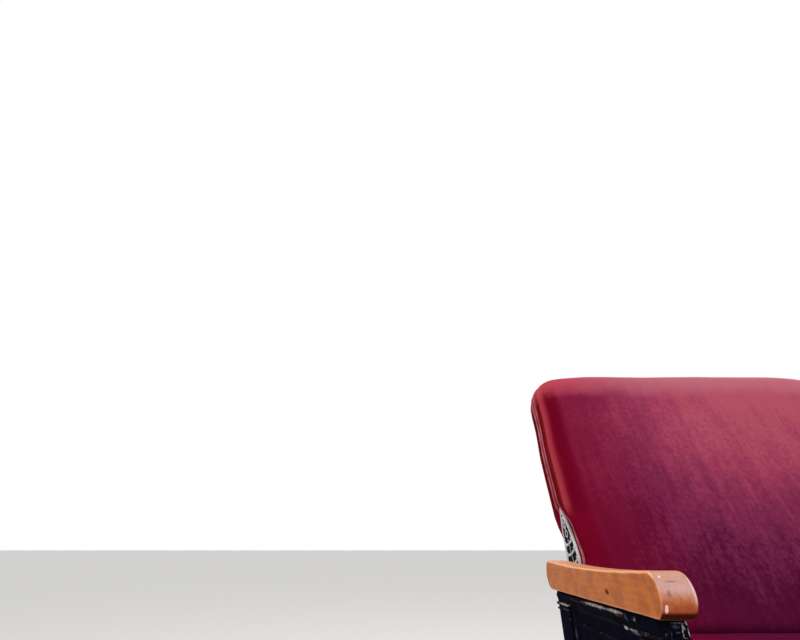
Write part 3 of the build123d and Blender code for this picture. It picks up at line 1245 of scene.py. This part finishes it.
@dataclass
class Stuffing:
    """How a stuffed piece is swollen."""

    voxel: float = 0.009
    pressure: float = 4.0
    swell: float = 0.008
    firmness: float = 0.65
    frames: int = 20

    def fill(self, piece: Piece, held: Callable[[np.ndarray], np.ndarray]) -> None:
        """Swells a piece as cloth under pressure, by no more than the swell, and makes its net finer.

        Args:
            piece: The piece, slightly smaller than it should be.
            held: Says which points stay where they are.
        """
        finish_with(piece, "REMESH", mode="VOXEL", voxel_size=self.voxel)
        start = get_points(piece)
        fixed = held(start)
        rest_normals = get_normals(piece)
        self.simulate(piece, fixed)
        moved = get_points(piece) - start
        along = (moved * rest_normals).sum(1)
        least = self.firmness * self.swell * (1 - fixed)
        moved += rest_normals * (np.maximum(along, least) - along)[:, None]
        length = np.linalg.norm(moved, axis=1).clip(1e-9)
        moved *= (self.swell * np.tanh(length / self.swell) / length)[:, None]
        set_points(piece, start + moved)
        finish_with(piece, "SMOOTH", factor=0.5, iterations=2)
        finish_with(piece, "SUBSURF", levels=1, render_levels=1)

    def simulate(self, piece: Piece, fixed: np.ndarray) -> None:
        """Runs the cloth simulation and applies it.

        Args:
            piece: The piece to swell.
            fixed: 1 for each point that is held.
        """
        group = piece.vertex_groups.new(name="held")
        group.add([int(number) for number in np.flatnonzero(fixed > 0.5)], 1.0, "REPLACE")
        modifier = piece.modifiers.new("Stuffing", "CLOTH")
        cloth = modifier.settings
        cloth.quality = 4
        cloth.use_pressure = True
        cloth.uniform_pressure_force = self.pressure
        cloth.effector_weights.gravity = 0.0
        cloth.vertex_group_mass = group.name
        modifier.collision_settings.use_collision = False
        modifier.collision_settings.use_self_collision = False
        for number in range(1, self.frames + 1):
            bpy.context.scene.frame_set(number)
        take_up(piece)
        bpy.ops.object.modifier_apply(modifier=modifier.name)
        piece.vertex_groups.clear()
        bpy.context.scene.frame_set(1)


@dataclass
class SeatBack:
    """The two plush faces of the back, their welts and the board between them."""

    place: BackPlace
    half_width: float = 0.442
    thick: float = 0.120
    top: float = 0.616
    bottom: float = -0.052
    board_half: float = 0.0073
    top_corner_r: float = 0.068
    low_corner_r: float = 0.034
    start_corner_r: float = 0.080
    sag: float = 0.009
    sag_least: float = 0.25
    sag_in: Span = (0.17, 0.04)
    sag_down: Span = (0.13, 0.03)
    start_roll_r: float = 0.020
    shrink: float = 0.003
    puff: float = 0.009
    puff_in: Span = (0.10, 0.01)
    puff_up: Span = (0.070, 0.150)
    bulge: float = 0.006
    bulge_down: Span = (0.14, 0.26)
    rim_scale: float = 7.0
    seam_draw: float = 0.0026
    seam_run: float = 0.016
    seam_in: Span = (0.03, 0.006)
    gather: float = 0.0004
    gather_waves: Span = (150.0, 31.0)
    held: float = 0.004
    slack: float = 0.0005
    uneven: tuple[Layer, Layer] = ((0.16, 0.0016, 3.0), (0.05, 0.0004, 8.0))
    uneven_depth: Span = (0.030, 0.050)
    welt_r: float = 0.0033
    welt_apart: float = 0.0098
    welt_fade: int = 8
    iron_top: float = 0.235
    iron_clear: float = 0.0050
    beside_iron: Span = (0.004, 0.040)
    over_iron_up: Span = (-0.060, 0.005)
    over_iron_off: Span = (0.001, 0.007)
    stuffing: Stuffing = field(default_factory=Stuffing)

    def build(self) -> None:
        """Makes both faces and their welts."""
        for facing, label in ((-1, "front"), (1, "rear")):
            self.pad(facing, label)
            self.welt(facing, label)
        FRAME_TIMBER.dress_node("back_board")

    def pad(self, facing: int, label: str) -> None:
        """Makes one stuffed face.

        Args:
            facing: -1 for the front face, 1 for the rear one.
            label: The word for it in names.
        """
        inner, outer = self.board_half, self.thick / 2 - self.stuffing.swell
        span = sorted((facing * inner, facing * outer))
        half, base = self.half_width - self.shrink, self.bottom + self.shrink
        pad = add_block(f"pad_{label}", (-half, span[0], base), (half, span[1], self.top - self.shrink))
        low_r = self.low_corner_r - self.shrink

        def on_face(edge: bmesh.types.BMEdge) -> bool:
            """Says whether an edge lies on the pad's outer face."""
            return all(abs(vert.co.y - facing * outer) < 1e-5 for vert in edge.verts)

        rims = (
            (lambda edge: runs_along(edge, 1) and middle(edge).z > 0, self.start_corner_r, 12),
            (lambda edge: runs_along(edge, 1) and middle(edge).z < base + 0.001, low_r, 8),
            (on_face, self.start_roll_r, 6),
        )
        for test, reach, segments in rims:
            round_off(pad, Part.EDGES, test, reach, segments)
        self.stuffing.fill(pad, lambda points: (np.abs(points[:, 1]) < inner + self.held).astype(float))
        self.tailor(pad, facing)
        self.place.lay_back(pad)
        PLUSH.dress(pad)
        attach(pad, "back")
        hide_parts(f"back_pad_{label}")

    def tailor(self, pad: Piece, facing: int) -> None:
        """Puffs the sides out above the irons, draws the seam in and makes the stuffing slightly uneven.

        Args:
            pad: The swollen pad, still upright.
            facing: -1 for the front face, 1 for the rear one.
        """
        points, normals = get_points(pad), get_normals(pad)
        depth = points[:, 1] * facing
        side_in = (self.half_width - np.abs(points[:, 0])).clip(0.0, None)
        top_in = (self.top - points[:, 2]).clip(0.0, None)
        # Distances across the rolled rims, which the plush reads for its painted highlights and shade.
        store(pad, "edge", (self.rim_scale * (depth - self.board_half + side_in)).clip(0.0, 1.0))
        store(pad, "crown", (self.rim_scale * (depth - self.board_half + top_in)).clip(0.0, 1.0))
        uneven = lumps(points, *((size, height, seed + facing) for size, height, seed in self.uneven))
        points += normals * (uneven * smooth_step(depth, *self.uneven_depth))[:, None]
        around = points[:, 0] + points[:, 2]
        fine, slow = self.gather_waves
        gathers = self.gather * np.sin(around * fine + np.sin(around * slow) * 2.0)
        past_seam = depth - self.seam_depth(points)
        drawn = (self.seam_draw + gathers) * smooth_step(past_seam, self.seam_run, 0.0)
        inward = normals * np.array([1.0, 0.0, 1.0])
        points -= inward * drawn[:, None]
        puff = self.puffed(points)
        points[:, 0] += np.sign(points[:, 0]) * puff * smooth_step(side_in, *self.puff_in)
        limit = self.half_width + self.slack + puff
        points[:, 0] = points[:, 0].clip(-limit, limit)
        points[:, 1] = facing * (points[:, 1] * facing).clip(None, self.thick / 2)
        points[:, 2] -= self.sagged(points)
        points[:, 2] = points[:, 2].clip(self.bottom, self.top)
        set_points(pad, points)

    def sagged(self, points: np.ndarray) -> np.ndarray:
        """Gives how far the back's top hangs lower at each point, mostly towards its corners.

        Args:
            points: Points on the back, upright.

        Returns:
            One drop a point.
        """
        side_in, top_in = self.half_width - np.abs(points[:, 0]), self.top - points[:, 2]
        cornered = self.sag_least + (1 - self.sag_least) * smooth_step(side_in, *self.sag_in)
        return self.sag * cornered * smooth_step(top_in, *self.sag_down)

    def puffed(self, points: np.ndarray) -> np.ndarray:
        """Gives how far the back's sides stand out at each point, clear of the irons.

        Args:
            points: Points on the back, upright.

        Returns:
            One distance a point.
        """
        full = self.puff + self.bulge * smooth_step(self.top - points[:, 2], *self.bulge_down)
        off_iron = np.abs(points[:, 1]) - self.place.iron_half(points[:, 2])
        above_iron = smooth_step(points[:, 2] - self.iron_top, *self.over_iron_up)
        above_iron *= smooth_step(off_iron, *self.over_iron_off)
        clear = np.maximum(smooth_step(off_iron, *self.beside_iron), above_iron)
        return full * clear * smooth_step(points[:, 2], *self.puff_up)

    def seam_depth(self, points: np.ndarray) -> np.ndarray:
        """Gives how far from the back's middle the seam runs, beside the board and round the irons.

        Args:
            points: Points on or near the back's rim, upright.

        Returns:
            One depth a point.
        """
        beside = self.place.iron_half(points[:, 2]) + self.iron_clear
        at_side = smooth_step(self.half_width - np.abs(points[:, 0]), *self.seam_in)
        low = points[:, 2] < self.iron_top
        return self.welt_apart + (beside - self.welt_apart).clip(0.0, None) * at_side * low

    def welt_path(self, facing: int) -> list[Vector]:
        """Gives the closed line that one face's piping follows.

        Args:
            facing: -1 for the front face, 1 for the rear one.

        Returns:
            The points of the line.
        """
        half, high, low = self.half_width, self.top_corner_r, self.low_corner_r
        corners = (
            (half - high, self.top - high, high, 0), (high - half, self.top - high, high, 90),
            (low - half, self.bottom + low, low, 180), (half - low, self.bottom + low, low, 270),
        )
        bends = []
        for x, z, radius, first in corners:
            spots = arc(x, z, radius - self.seam_draw, first, 90, 10)
            bends += [Vector((spot.x, 0.0, spot.y)) for spot in spots]
        path = []
        for start, end in zip(bends, bends[1:] + bends[:1]):
            steps = 60 if (end - start).length > 0.1 else 1
            path += [start.lerp(end, step / steps) for step in range(steps)]
        points = np.array([point[:] for point in path])
        points[:, 1] = facing * self.seam_depth(points)
        for point, depth, puff, sag in zip(path, points[:, 1], self.puffed(points), self.sagged(points)):
            point.x += math.copysign(puff, point.x) * min(abs(point.x) / half, 1.0) ** self.welt_fade
            point.y = depth
            point.z -= sag
        return path

    def welt(self, facing: int, label: str) -> None:
        """Makes the piping where one face meets the board.

        Args:
            facing: -1 for the front face, 1 for the rear one.
            label: The word for it in names.
        """
        welt = add_tube(f"welt_{label}", self.welt_path(facing), self.welt_r, closed=True)
        self.place.lay_back(welt)
        PIPING.dress(welt, TURNED)
        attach(welt, "back")


@dataclass
class SideIron:
    """The cast iron on one side of the back: a lancet plate with raised leaves over a plain shank."""

    place: BackPlace
    face_x: float = 0.4503
    field_x: float = 0.4480
    field_low: float = 0.066
    rim: float = 0.0050
    leaf_heights: tuple[float, ...] = (0.140, 0.118, 0.096)
    leaf_tilt: float = math.radians(5.0)
    leaf_thick: float = 0.0030
    leaf_proud: float = 0.0034
    stem_proud: float = 0.0008
    stem_sway: float = 0.0010
    stem_wave: float = 1.3
    stem_low: float = 0.070
    stem_step: float = 0.008
    curl_in: float = 0.0040
    curl_up: float = 0.0060
    ring_height: float = 0.162
    ring_r: float = 0.0075
    loop_height: float = 0.1875
    loop_half: Span = (0.0072, 0.0125)
    bud_half: Point = (0.0030, 0.0014, 0.0040)
    tip_height: float = 0.2080
    tip_half: Point = (0.0026, 0.0010, 0.0034)
    bar_r: float = 0.0015
    screw_r: float = 0.0048
    screw_places: tuple[float, ...] = (0.048, -0.038)
    screw_sunk: float = 0.0004
    screw_turn: float = 0.6
    field_edge: float = 0.0006
    behind: Span = (0.0050, 0.0062)
    voxel: float = 0.0011

    def ornament(self) -> list[Piece]:
        """Makes what stands in the sunk field: a stem with pairs of leaves under a ring and an oval loop.

        Returns:
            Its pieces, upright about the pivot.
        """
        x, proud = self.field_x, self.field_x + self.stem_proud
        stem = []
        for number in range(11):
            sway = self.stem_sway * math.sin(number * self.stem_wave)
            stem.append(Vector((proud, sway, self.stem_low + self.stem_step * number)))
        made = [add_tube("stem", stem, self.bar_r * 0.8, closed=False)]
        for height in self.leaf_heights:
            reach = float(self.place.iron_half(height)) - self.rim
            for sign in (-1, 1):
                blade = (self.leaf_proud, reach / 2, self.leaf_thick)
                tilt = (sign * self.leaf_tilt, 0.0, 0.0)
                made.append(add_ball("leaf", (x, sign * reach / 2, height), blade, tilt))
                curl = (x, sign * (reach - self.curl_in), height + self.curl_up)
                made.append(add_ball("curl", curl, (self.leaf_proud,) * 3))
        made.append(add_ring("ring", (proud, 0.0, self.ring_height), self.ring_r, self.ring_r, self.bar_r))
        made.append(add_ring("loop", (proud, 0.0, self.loop_height), *self.loop_half, self.bar_r))
        made.append(add_ball("bud", (x, 0.0, self.loop_height), self.bud_half))
        made.append(add_ball("tip", (x, 0.0, self.tip_height), self.tip_half))
        return made

    def build(self) -> None:
        """Makes both side irons with their screws."""
        iron = self.place.stand_up(copy_node("side_iron_wall", "iron_wall"))
        iron = join([iron, *self.ornament()], "iron_wall")
        soften(iron, self.voxel, 2)
        points = get_points(iron)
        x, y, z = points.T
        over_shank = z > self.field_low
        inside = over_shank & (self.place.iron_half(z) - np.abs(y) > self.rim)
        sunk = smooth_step(x, self.face_x - self.field_edge, self.field_x + self.field_edge) * inside
        store(iron, "field", np.maximum(sunk, smooth_step(self.face_x - x, *self.behind) * over_shank))
        seat_x = self.face_x - self.screw_sunk
        screws = [
            make_screw(self.screw_r, (seat_x, 0.0, height), 0, 1, self.screw_turn * number)
            for number, height in enumerate(self.screw_places)
        ]
        screws = self.place.lay_back(join(screws, "iron_screws_wall"))
        self.place.lay_back(iron)
        for side, piece in both_sides(iron):
            store_wear(piece)
            PEWTER.dress(piece)
            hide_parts(f"side_iron_{side.label}")
            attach(piece, "back")
        for _, heads in both_sides(screws):
            STEEL.dress(heads, TURNED)
            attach(heads, "back")


def make_screw(radius: float, place: Point, axis: int, sign: int, turn: float) -> Piece:
    """Makes a slotted round head.

    Args:
        radius: The head's radius in metres.
        place: The middle of its seat.
        axis: The axis that it faces along, 0 for X or 1 for Y.
        sign: The way that it faces.
        turn: How far its slot is turned, in radians.

    Returns:
        The screw head.
    """
    height = radius * 0.55
    head = add_disc("screw", radius, (0.0, 0.0, 0.0), height, 2, 24)
    round_off(head, Part.FACES, lambda face: face.normal.z > 0.9, height * 0.6, 4)
    reach, half_wide = radius * 1.2, radius * 0.13
    slot = add_block("slot", (-reach, -half_wide, height * 0.55), (reach, half_wide, height * 2))
    finish_with(head, "BOOLEAN", object=slot, operation="DIFFERENCE", solver="EXACT")
    bpy.data.objects.remove(slot)
    quarter = sign * math.pi / 2
    aim = Matrix.Rotation(-quarter, 4, "X") if axis else Matrix.Rotation(quarter, 4, "Y")
    head.matrix_world = Matrix.Translation(place) @ aim @ Matrix.Rotation(turn, 4, "Z")
    return settle(head)


@dataclass
class SeatCushion:
    """The loose seat cushion with its rolled edges and the welts around its ends."""

    shrink: float = 0.004
    lift: float = 0.0002
    roll_r: float = 0.042
    start_roll_r: float = 0.026
    corner_r: float = 0.034
    seat_x: float = 0.21
    dip: float = 0.006
    dip_y: float = 0.01
    dip_half: Span = (0.20, 0.17)
    dip_facing: Span = (0.5, 0.95)
    uneven: tuple[Layer, Layer] = ((0.13, 0.0014, 21.0), (0.045, 0.0004, 25.0))
    uneven_up: Span = (0.01, 0.04)
    crest: Span = (0.62, 0.24)
    end_facing: Span = (0.25, 0.6)
    side_facing: Span = (0.45, 0.05)
    held: float = 0.012
    welt_r: float = 0.0034
    welt_in: float = 0.010
    welt_foot: float = 0.006
    stuffing: Stuffing = field(default_factory=lambda: Stuffing(swell=0.007))

    def build(self) -> None:
        """Makes the cushion and its welts."""
        low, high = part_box("seat_cushion")
        top = high.z - self.stuffing.swell
        inset = Vector((self.shrink, self.shrink, 0.0))
        start, end = low + inset, high - inset
        cushion = add_block("cushion", (*start.xy, low.z + self.lift), (*end.xy, top))
        rims = (
            (lambda edge: runs_along(edge, 0) and middle(edge).z > top - 0.001, self.start_roll_r, 8),
            (lambda edge: runs_along(edge, 2) and edge.calc_face_angle(0.0) > 1.0, self.corner_r, 5),
        )
        for test, reach, segments in rims:
            round_off(cushion, Part.EDGES, test, reach, segments)
        self.stuffing.fill(cushion, lambda points: (points[:, 2] < low.z + self.held).astype(float))
        self.tailor(cushion, low, high)
        PLUSH.dress(cushion)
        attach(cushion, "base")
        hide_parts("seat_cushion")
        for side in Side:
            self.end_welt(side, cushion, low, high)

    def tailor(self, cushion: Piece, low: Vector, high: Vector) -> None:
        """Adds the dips where people sit and keeps the cushion inside its room.

        Args:
            cushion: The swollen cushion.
            low: The lowest corner of its room.
            high: The highest corner of its room.
        """
        points, normals = get_points(cushion), get_normals(cushion)
        up = smooth_step(normals[:, 2], *self.dip_facing)
        for seat in Side:
            across = (points[:, 0] - self.seat_x * seat.value) / self.dip_half[0]
            away = np.hypot(across, (points[:, 1] - self.dip_y) / self.dip_half[1])
            points[:, 2] -= self.dip * smooth_step(away, 1.0, 0.0) * up
        uneven = lumps(points, *self.uneven) * smooth_step(points[:, 2] - low.z, *self.uneven_up)
        points += normals * uneven[:, None]
        set_points(cushion, points.clip(low, high))
        facing = get_normals(cushion)
        rolled = np.exp(-(((facing[:, 2] - self.crest[0]) / self.crest[1]) ** 2))
        ended = smooth_step(np.abs(facing[:, 0]), *self.end_facing)
        # Crown marks where the ends roll over, for the plush's painted highlight; edge stays too high for the
        # rims' painted light and shade to show.
        store(cushion, "crown", 1.0 - 0.5 * rolled * ended)
        store(cushion, "edge", 1.0 - 0.2 * smooth_step(facing[:, 2], *self.side_facing))

    def end_welt(self, side: Side, cushion: Piece, low: Vector, high: Vector) -> None:
        """Makes the piping around one end of the cushion.

        Args:
            side: The end.
            cushion: The finished cushion, which the piping lies on.
            low: The lowest corner of the cushion's room.
            high: The highest corner of its room.
        """
        x, radius, base = side.value * (high.x - self.welt_in), self.roll_r, low.z + self.welt_foot
        shoulder = high.z - radius
        rises = [base + (shoulder - base) * step / 6 for step in range(6)]
        front, rear = (
            [Vector((x, *spot)) for spot in arc(y, shoulder, radius, first, -90, 10)]
            for y, first in ((low.y + radius, 180), (high.y - radius, 90))
        )
        path = [Vector((x, low.y, z)) for z in rises] + front
        path += [front[-1].lerp(rear[0], step / 24) for step in range(1, 24)] + rear
        path += [Vector((x, high.y, z)) for z in reversed(rises)]
        laid = []
        for point in path:
            _, spot, facing, _ = cushion.closest_point_on_mesh(point)
            laid.append(spot + facing * self.welt_r * 0.4)
        welt = add_tube(f"cushion_welt_{side.label}", laid, self.welt_r, closed=False)
        PIPING.dress(welt, TURNED)
        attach(welt, "base")


@dataclass
class Armrest:
    """The wooden armrest with its bull noses and hollow top."""

    voxel: float = 0.0019
    smoothing: int = 3
    uneven: Layer = (0.035, 0.0004, 4.0)
    top_edge: Span = (0.22, 0.42)
    low_edge: Span = (0.26, 0.44)
    nose_edge: Span = (0.28, 0.46)
    inner_edge: Span = (0.16, 0.42)
    inner_up: Span = (0.508, 0.520)
    hand_facing: Span = (0.80, 0.95)
    hand_along: Span = (0.222, 0.205)
    nose_along: Span = (0.209, 0.222)
    nose_facing: Span = (0.80, 0.55)

    def build(self) -> None:
        """Makes both armrests."""
        arm = soften(copy_node("armrest_wall", "arm_wall"), self.voxel, self.smoothing)
        points, normals = get_points(arm), get_normals(arm)
        points += normals * lumps(points, self.uneven)[:, None]
        set_points(arm, points)
        outward, up, ended = normals[:, 0].clip(0.0, 1.0), normals[:, 2], np.abs(normals[:, 1])
        along = np.abs(points[:, 1])
        # A painted highlight along the inner edges of the noses.
        inner = smooth_step(-normals[:, 0] * ended, *self.inner_edge)
        inner *= smooth_step(points[:, 2], *self.inner_up)
        # Rubbed edges and hand wear, and the noses' inner edges as a painted highlight.
        rub_and_highlight_parts = [
            smooth_step(outward * up, *self.top_edge),
            0.28 * smooth_step(outward * -up, *self.low_edge),
            0.3 * smooth_step(outward * ended, *self.nose_edge),
            0.7 * inner,
            0.5 * smooth_step(up, *self.hand_facing) * smooth_step(along, *self.hand_along),
        ]
        store(arm, "rub", np.maximum.reduce(rub_and_highlight_parts))
        store(arm, "nose", smooth_step(along, *self.nose_along) * smooth_step(outward, *self.nose_facing))
        for side, piece in both_sides(arm):
            store_wear(piece, 3)
            ARM_TIMBER.dress(piece)
            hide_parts(f"armrest_{side.label}")
            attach(piece, "base")


@dataclass
class EndFrame:
    """The cast iron end of the seat, with its screws and floor bolts."""

    voxel: float = 0.0030
    uneven: Layer = (0.045, 0.0005, 12.0)
    inner_x: float = 0.488
    outer_x: float = 0.526
    post_end: float = 0.2021
    post_inner: float = 0.1421
    bead_r: float = 0.0032
    bead_z: float = 0.4865
    bands: Path = ((0.4720, 0.0026), (0.4634, 0.0019))
    band_tuck: float = 0.002
    panel_x: float = 0.517
    panel_bead_r: float = 0.0024
    panel_bead_y: float = 0.127
    panel_bead_low: float = 0.408
    panel_bead_high: float = 0.446
    panel_corner_r: float = 0.010
    screw_r: float = 0.0060
    screw_x: float = 0.5185
    screw_z: float = 0.4807
    screw_turn: float = 0.7
    bolt_x: float = 0.466
    bolt_y: float = 0.222
    foot_top: float = 0.0120
    washer_r: float = 0.0125
    washer_thick: float = 0.0022
    bolt_head_half: float = 0.0075
    bolt_head_thick: float = 0.0085
    bolt_head_round: float = 0.0016
    bolt_turn: float = 0.4

    def build(self) -> None:
        """Makes both end frames."""
        casting = soften(copy_node("end_frame_wall", "frame_wall"), self.voxel, 3)
        points, normals = get_points(casting), get_normals(casting)
        points += normals * lumps(points, self.uneven)[:, None]
        points[:, 2] = points[:, 2].clip(0.0, None)
        set_points(casting, points)
        painted = [(piece, BLACK_IRON) for piece in (casting, self.mouldings(), self.screws())]
        for piece, finish in (*painted, (self.bolts(), STEEL)):
            store_wear(piece)
            for _, dressed in both_sides(piece):
                finish.dress(dressed)
                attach(dressed, "base")
        for side in Side:
            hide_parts(f"end_frame_{side.label}")

    def mouldings(self) -> Piece:
        """Makes the bead under the armrest, the bands of the post heads and the bead frame of the panel.

        Returns:
            The mouldings of the wall end.
        """
        bead_start = (self.outer_x, -self.post_inner, self.bead_z)
        made = [add_disc("bead", self.bead_r, bead_start, 2 * self.post_inner, 1, 16)]
        tucked = self.post_inner - self.band_tuck
        for sign in (-1, 1):
            for height, proud in self.bands:
                near, far = sorted((sign * tucked, sign * (self.post_end + proud)))
                low, high = (self.inner_x, near, height - proud), (self.outer_x + proud, far, height + proud)
                made.append(add_block("band", low, high))
                round_off(made[-1], Part.EDGES, lambda edge: True, proud * 0.8, 4)
        corner_r = self.panel_corner_r
        low, high = self.panel_bead_low + corner_r, self.panel_bead_high - corner_r
        side = self.panel_bead_y - corner_r
        spots = []
        for y, z, first in ((side, high, 0), (-side, high, 90), (-side, low, 180), (side, low, 270)):
            spots += [Vector((self.panel_x, *spot)) for spot in arc(y, z, corner_r, first, 90, 6)]
        made.append(add_tube("panel_bead", spots, self.panel_bead_r, closed=True))
        return join(made, "mouldings_wall")

    def screws(self) -> Piece:
        """Makes the screws on the end faces of the posts.

        Returns:
            The screws of the wall end.
        """
        made = []
        for sign in (-1, 1):
            seat = (self.screw_x, sign * self.post_end, self.screw_z)
            made.append(make_screw(self.screw_r, seat, 1, sign, self.screw_turn * sign))
        return join(made, "post_screws_wall")

    def bolts(self) -> Piece:
        """Makes the square headed floor bolts with their washers.

        Returns:
            The bolts of the wall end.
        """
        made = []
        half, thick, washer_thick = self.bolt_head_half, self.bolt_head_thick, self.washer_thick
        for number, sign in enumerate((-1, 1)):
            spot = (self.bolt_x, sign * self.bolt_y, self.foot_top)
            made.append(add_disc("washer", self.washer_r, spot, washer_thick, 2))
            head = add_block("head", (-half, -half, 0.0), (half, half, thick))
            round_off(head, Part.EDGES, lambda edge: middle(edge).z > thick / 2, self.bolt_head_round, 3)
            lift = Matrix.Translation((*spot[:2], self.foot_top + washer_thick))
            head.matrix_world = lift @ Matrix.Rotation(self.bolt_turn + number, 4, "Z")
            made.append(settle(head))
        return join(made, "floor_bolts_wall")


@dataclass
class Linkage:
    """The arms, pins and shaft that let the back walk over."""

    iron: tuple[str, ...] = ("main_arm", "guide_arm")
    steel: tuple[str, ...] = ("main_pivot_pin", "back_pivot_bolt", "guide_eye_pin")

    def build(self) -> None:
        """Gives the linkage's nodes their finishes."""
        for side in Side:
            for name in self.iron:
                GREY_IRON.dress_node(f"{name}_{side.label}")
            for name in self.steel:
                STEEL.dress_node(f"{name}_{side.label}")
        STEEL.dress_node("guide_shaft")


@dataclass
class SeatBase:
    """The rails, ties and tray that carry the cushion."""

    def build(self) -> None:
        """Gives the base's nodes their finishes."""
        for name in ("front_rail", "rear_rail", "rail_ties"):
            BLACK_IRON.dress_node(name)
        FRAME_TIMBER.dress_node("cushion_tray")


# Studio

@dataclass
class Studio:
    """The pale floor, soft lamps and camera."""

    camera_place: Point = (-0.8635, -0.872, 0.58)
    camera_turn: Point = (math.radians(118.2), 0.0, 0.0)
    lens: float = 18.9
    floor_colour: Colour = srgb(246, 245, 243)
    floor_half: float = 60.0
    ambient: float = 0.68

    def build(self) -> None:
        """Sets up the floor, the lamps, the world and the camera."""
        self.camera()
        self.floor()
        self.world()
        self.lamp("overhead", (0.2, -0.6, 3.0), (0.0, 0.1, 0.5), 3.0, 38.0, srgb(255, 248, 240))
        self.lamp("aisle", (-2.8, -0.9, 1.9), (0.0, 0.1, 0.7), 1.8, 27.0, srgb(255, 244, 232))
        self.lamp("window", (2.2, -2.2, 2.4), (0.1, 0.2, 0.9), 1.8, 31.0, srgb(240, 246, 255))
        bpy.context.scene.view_settings.view_transform = "Standard"

    def camera(self) -> None:
        """Places the camera at the photograph's viewing angle."""
        data = bpy.data.cameras.new("Camera")
        data.lens = self.lens
        data.sensor_width = 36.0
        camera = bpy.data.objects.new("Camera", data)
        camera.location = self.camera_place
        camera.rotation_euler = self.camera_turn
        bpy.context.scene.collection.objects.link(camera)
        bpy.context.scene.camera = camera

    def seen(self, graph: Graph) -> Socket:
        """Gives 1 for the rays that show the background: from the camera, a reflection or glass.

        Args:
            graph: The world's graph.

        Returns:
            The mask of these rays.
        """
        rays = graph.add("ShaderNodeLightPath").outputs
        shown = graph.maths("MAXIMUM", rays["Is Camera Ray"], rays["Is Glossy Ray"])
        return graph.maths("MAXIMUM", shown, rays["Is Transmission Ray"])

    def floor(self) -> None:
        """Makes the pale floor."""
        deselect()
        bpy.ops.mesh.primitive_plane_add(size=self.floor_half * 2)
        floor = bpy.context.active_object
        floor.name = "floor"
        paint = bpy.data.materials.new("Pale floor")
        paint.use_nodes = True
        values = {"Base Color": self.floor_colour, "Roughness": 0.9, "Specular IOR Level": 0.1}
        Graph(paint.node_tree).feed(paint.node_tree.nodes["Principled BSDF"].inputs, values)
        floor.data.materials.append(paint)

    def world(self) -> None:
        """Makes the even light from all round and the white that the camera sees."""
        world = bpy.data.worlds.new("Studio")
        world.use_nodes = True
        bpy.context.scene.world = world
        graph, nodes, white = Graph(world.node_tree), world.node_tree.nodes, (1.0, 1.0, 1.0, 1.0)
        lit = graph.add("ShaderNodeBackground", {0: white, 1: self.ambient}).outputs[0]
        shown = graph.add("ShaderNodeBackground", {0: white, 1: 1.0}).outputs[0]
        both = graph.add("ShaderNodeMixShader", {0: self.seen(graph), 1: lit, 2: shown}).outputs[0]
        graph.feed(nodes["World Output"].inputs, {"Surface": both})

    def lamp(self, name: str, place: Point, target: Point, size: float, power: float, colour: Colour) -> None:
        """Adds a soft lamp.

        Args:
            name: The lamp's name.
            place: Where it hangs.
            target: What it points at.
            size: Its width in metres.
            power: Its power in watts.
            colour: Its colour.
        """
        data = bpy.data.lights.new(name, "AREA")
        data.shape = "DISK"
        data.size = size
        data.energy = power
        data.color = colour[:3]
        lamp = bpy.data.objects.new(name, data)
        lamp.location = place
        lamp.rotation_euler = (Vector(target) - Vector(place)).to_track_quat("-Z", "Y").to_euler()
        bpy.context.scene.collection.objects.link(lamp)


def main() -> None:
    """Builds the seat and its studio."""
    logging.basicConfig(level=logging.INFO, format="%(message)s")
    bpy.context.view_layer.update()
    place = BackPlace()
    ends, back = (EndFrame(), Armrest()), (SeatBack(place), SideIron(place))
    for assembly in (*ends, SeatBase(), SeatCushion(), *back, Linkage(), Studio()):
        assembly.build()
        LOG.info("built %s", type(assembly).__name__)


if __name__ == "__main__":
    main()
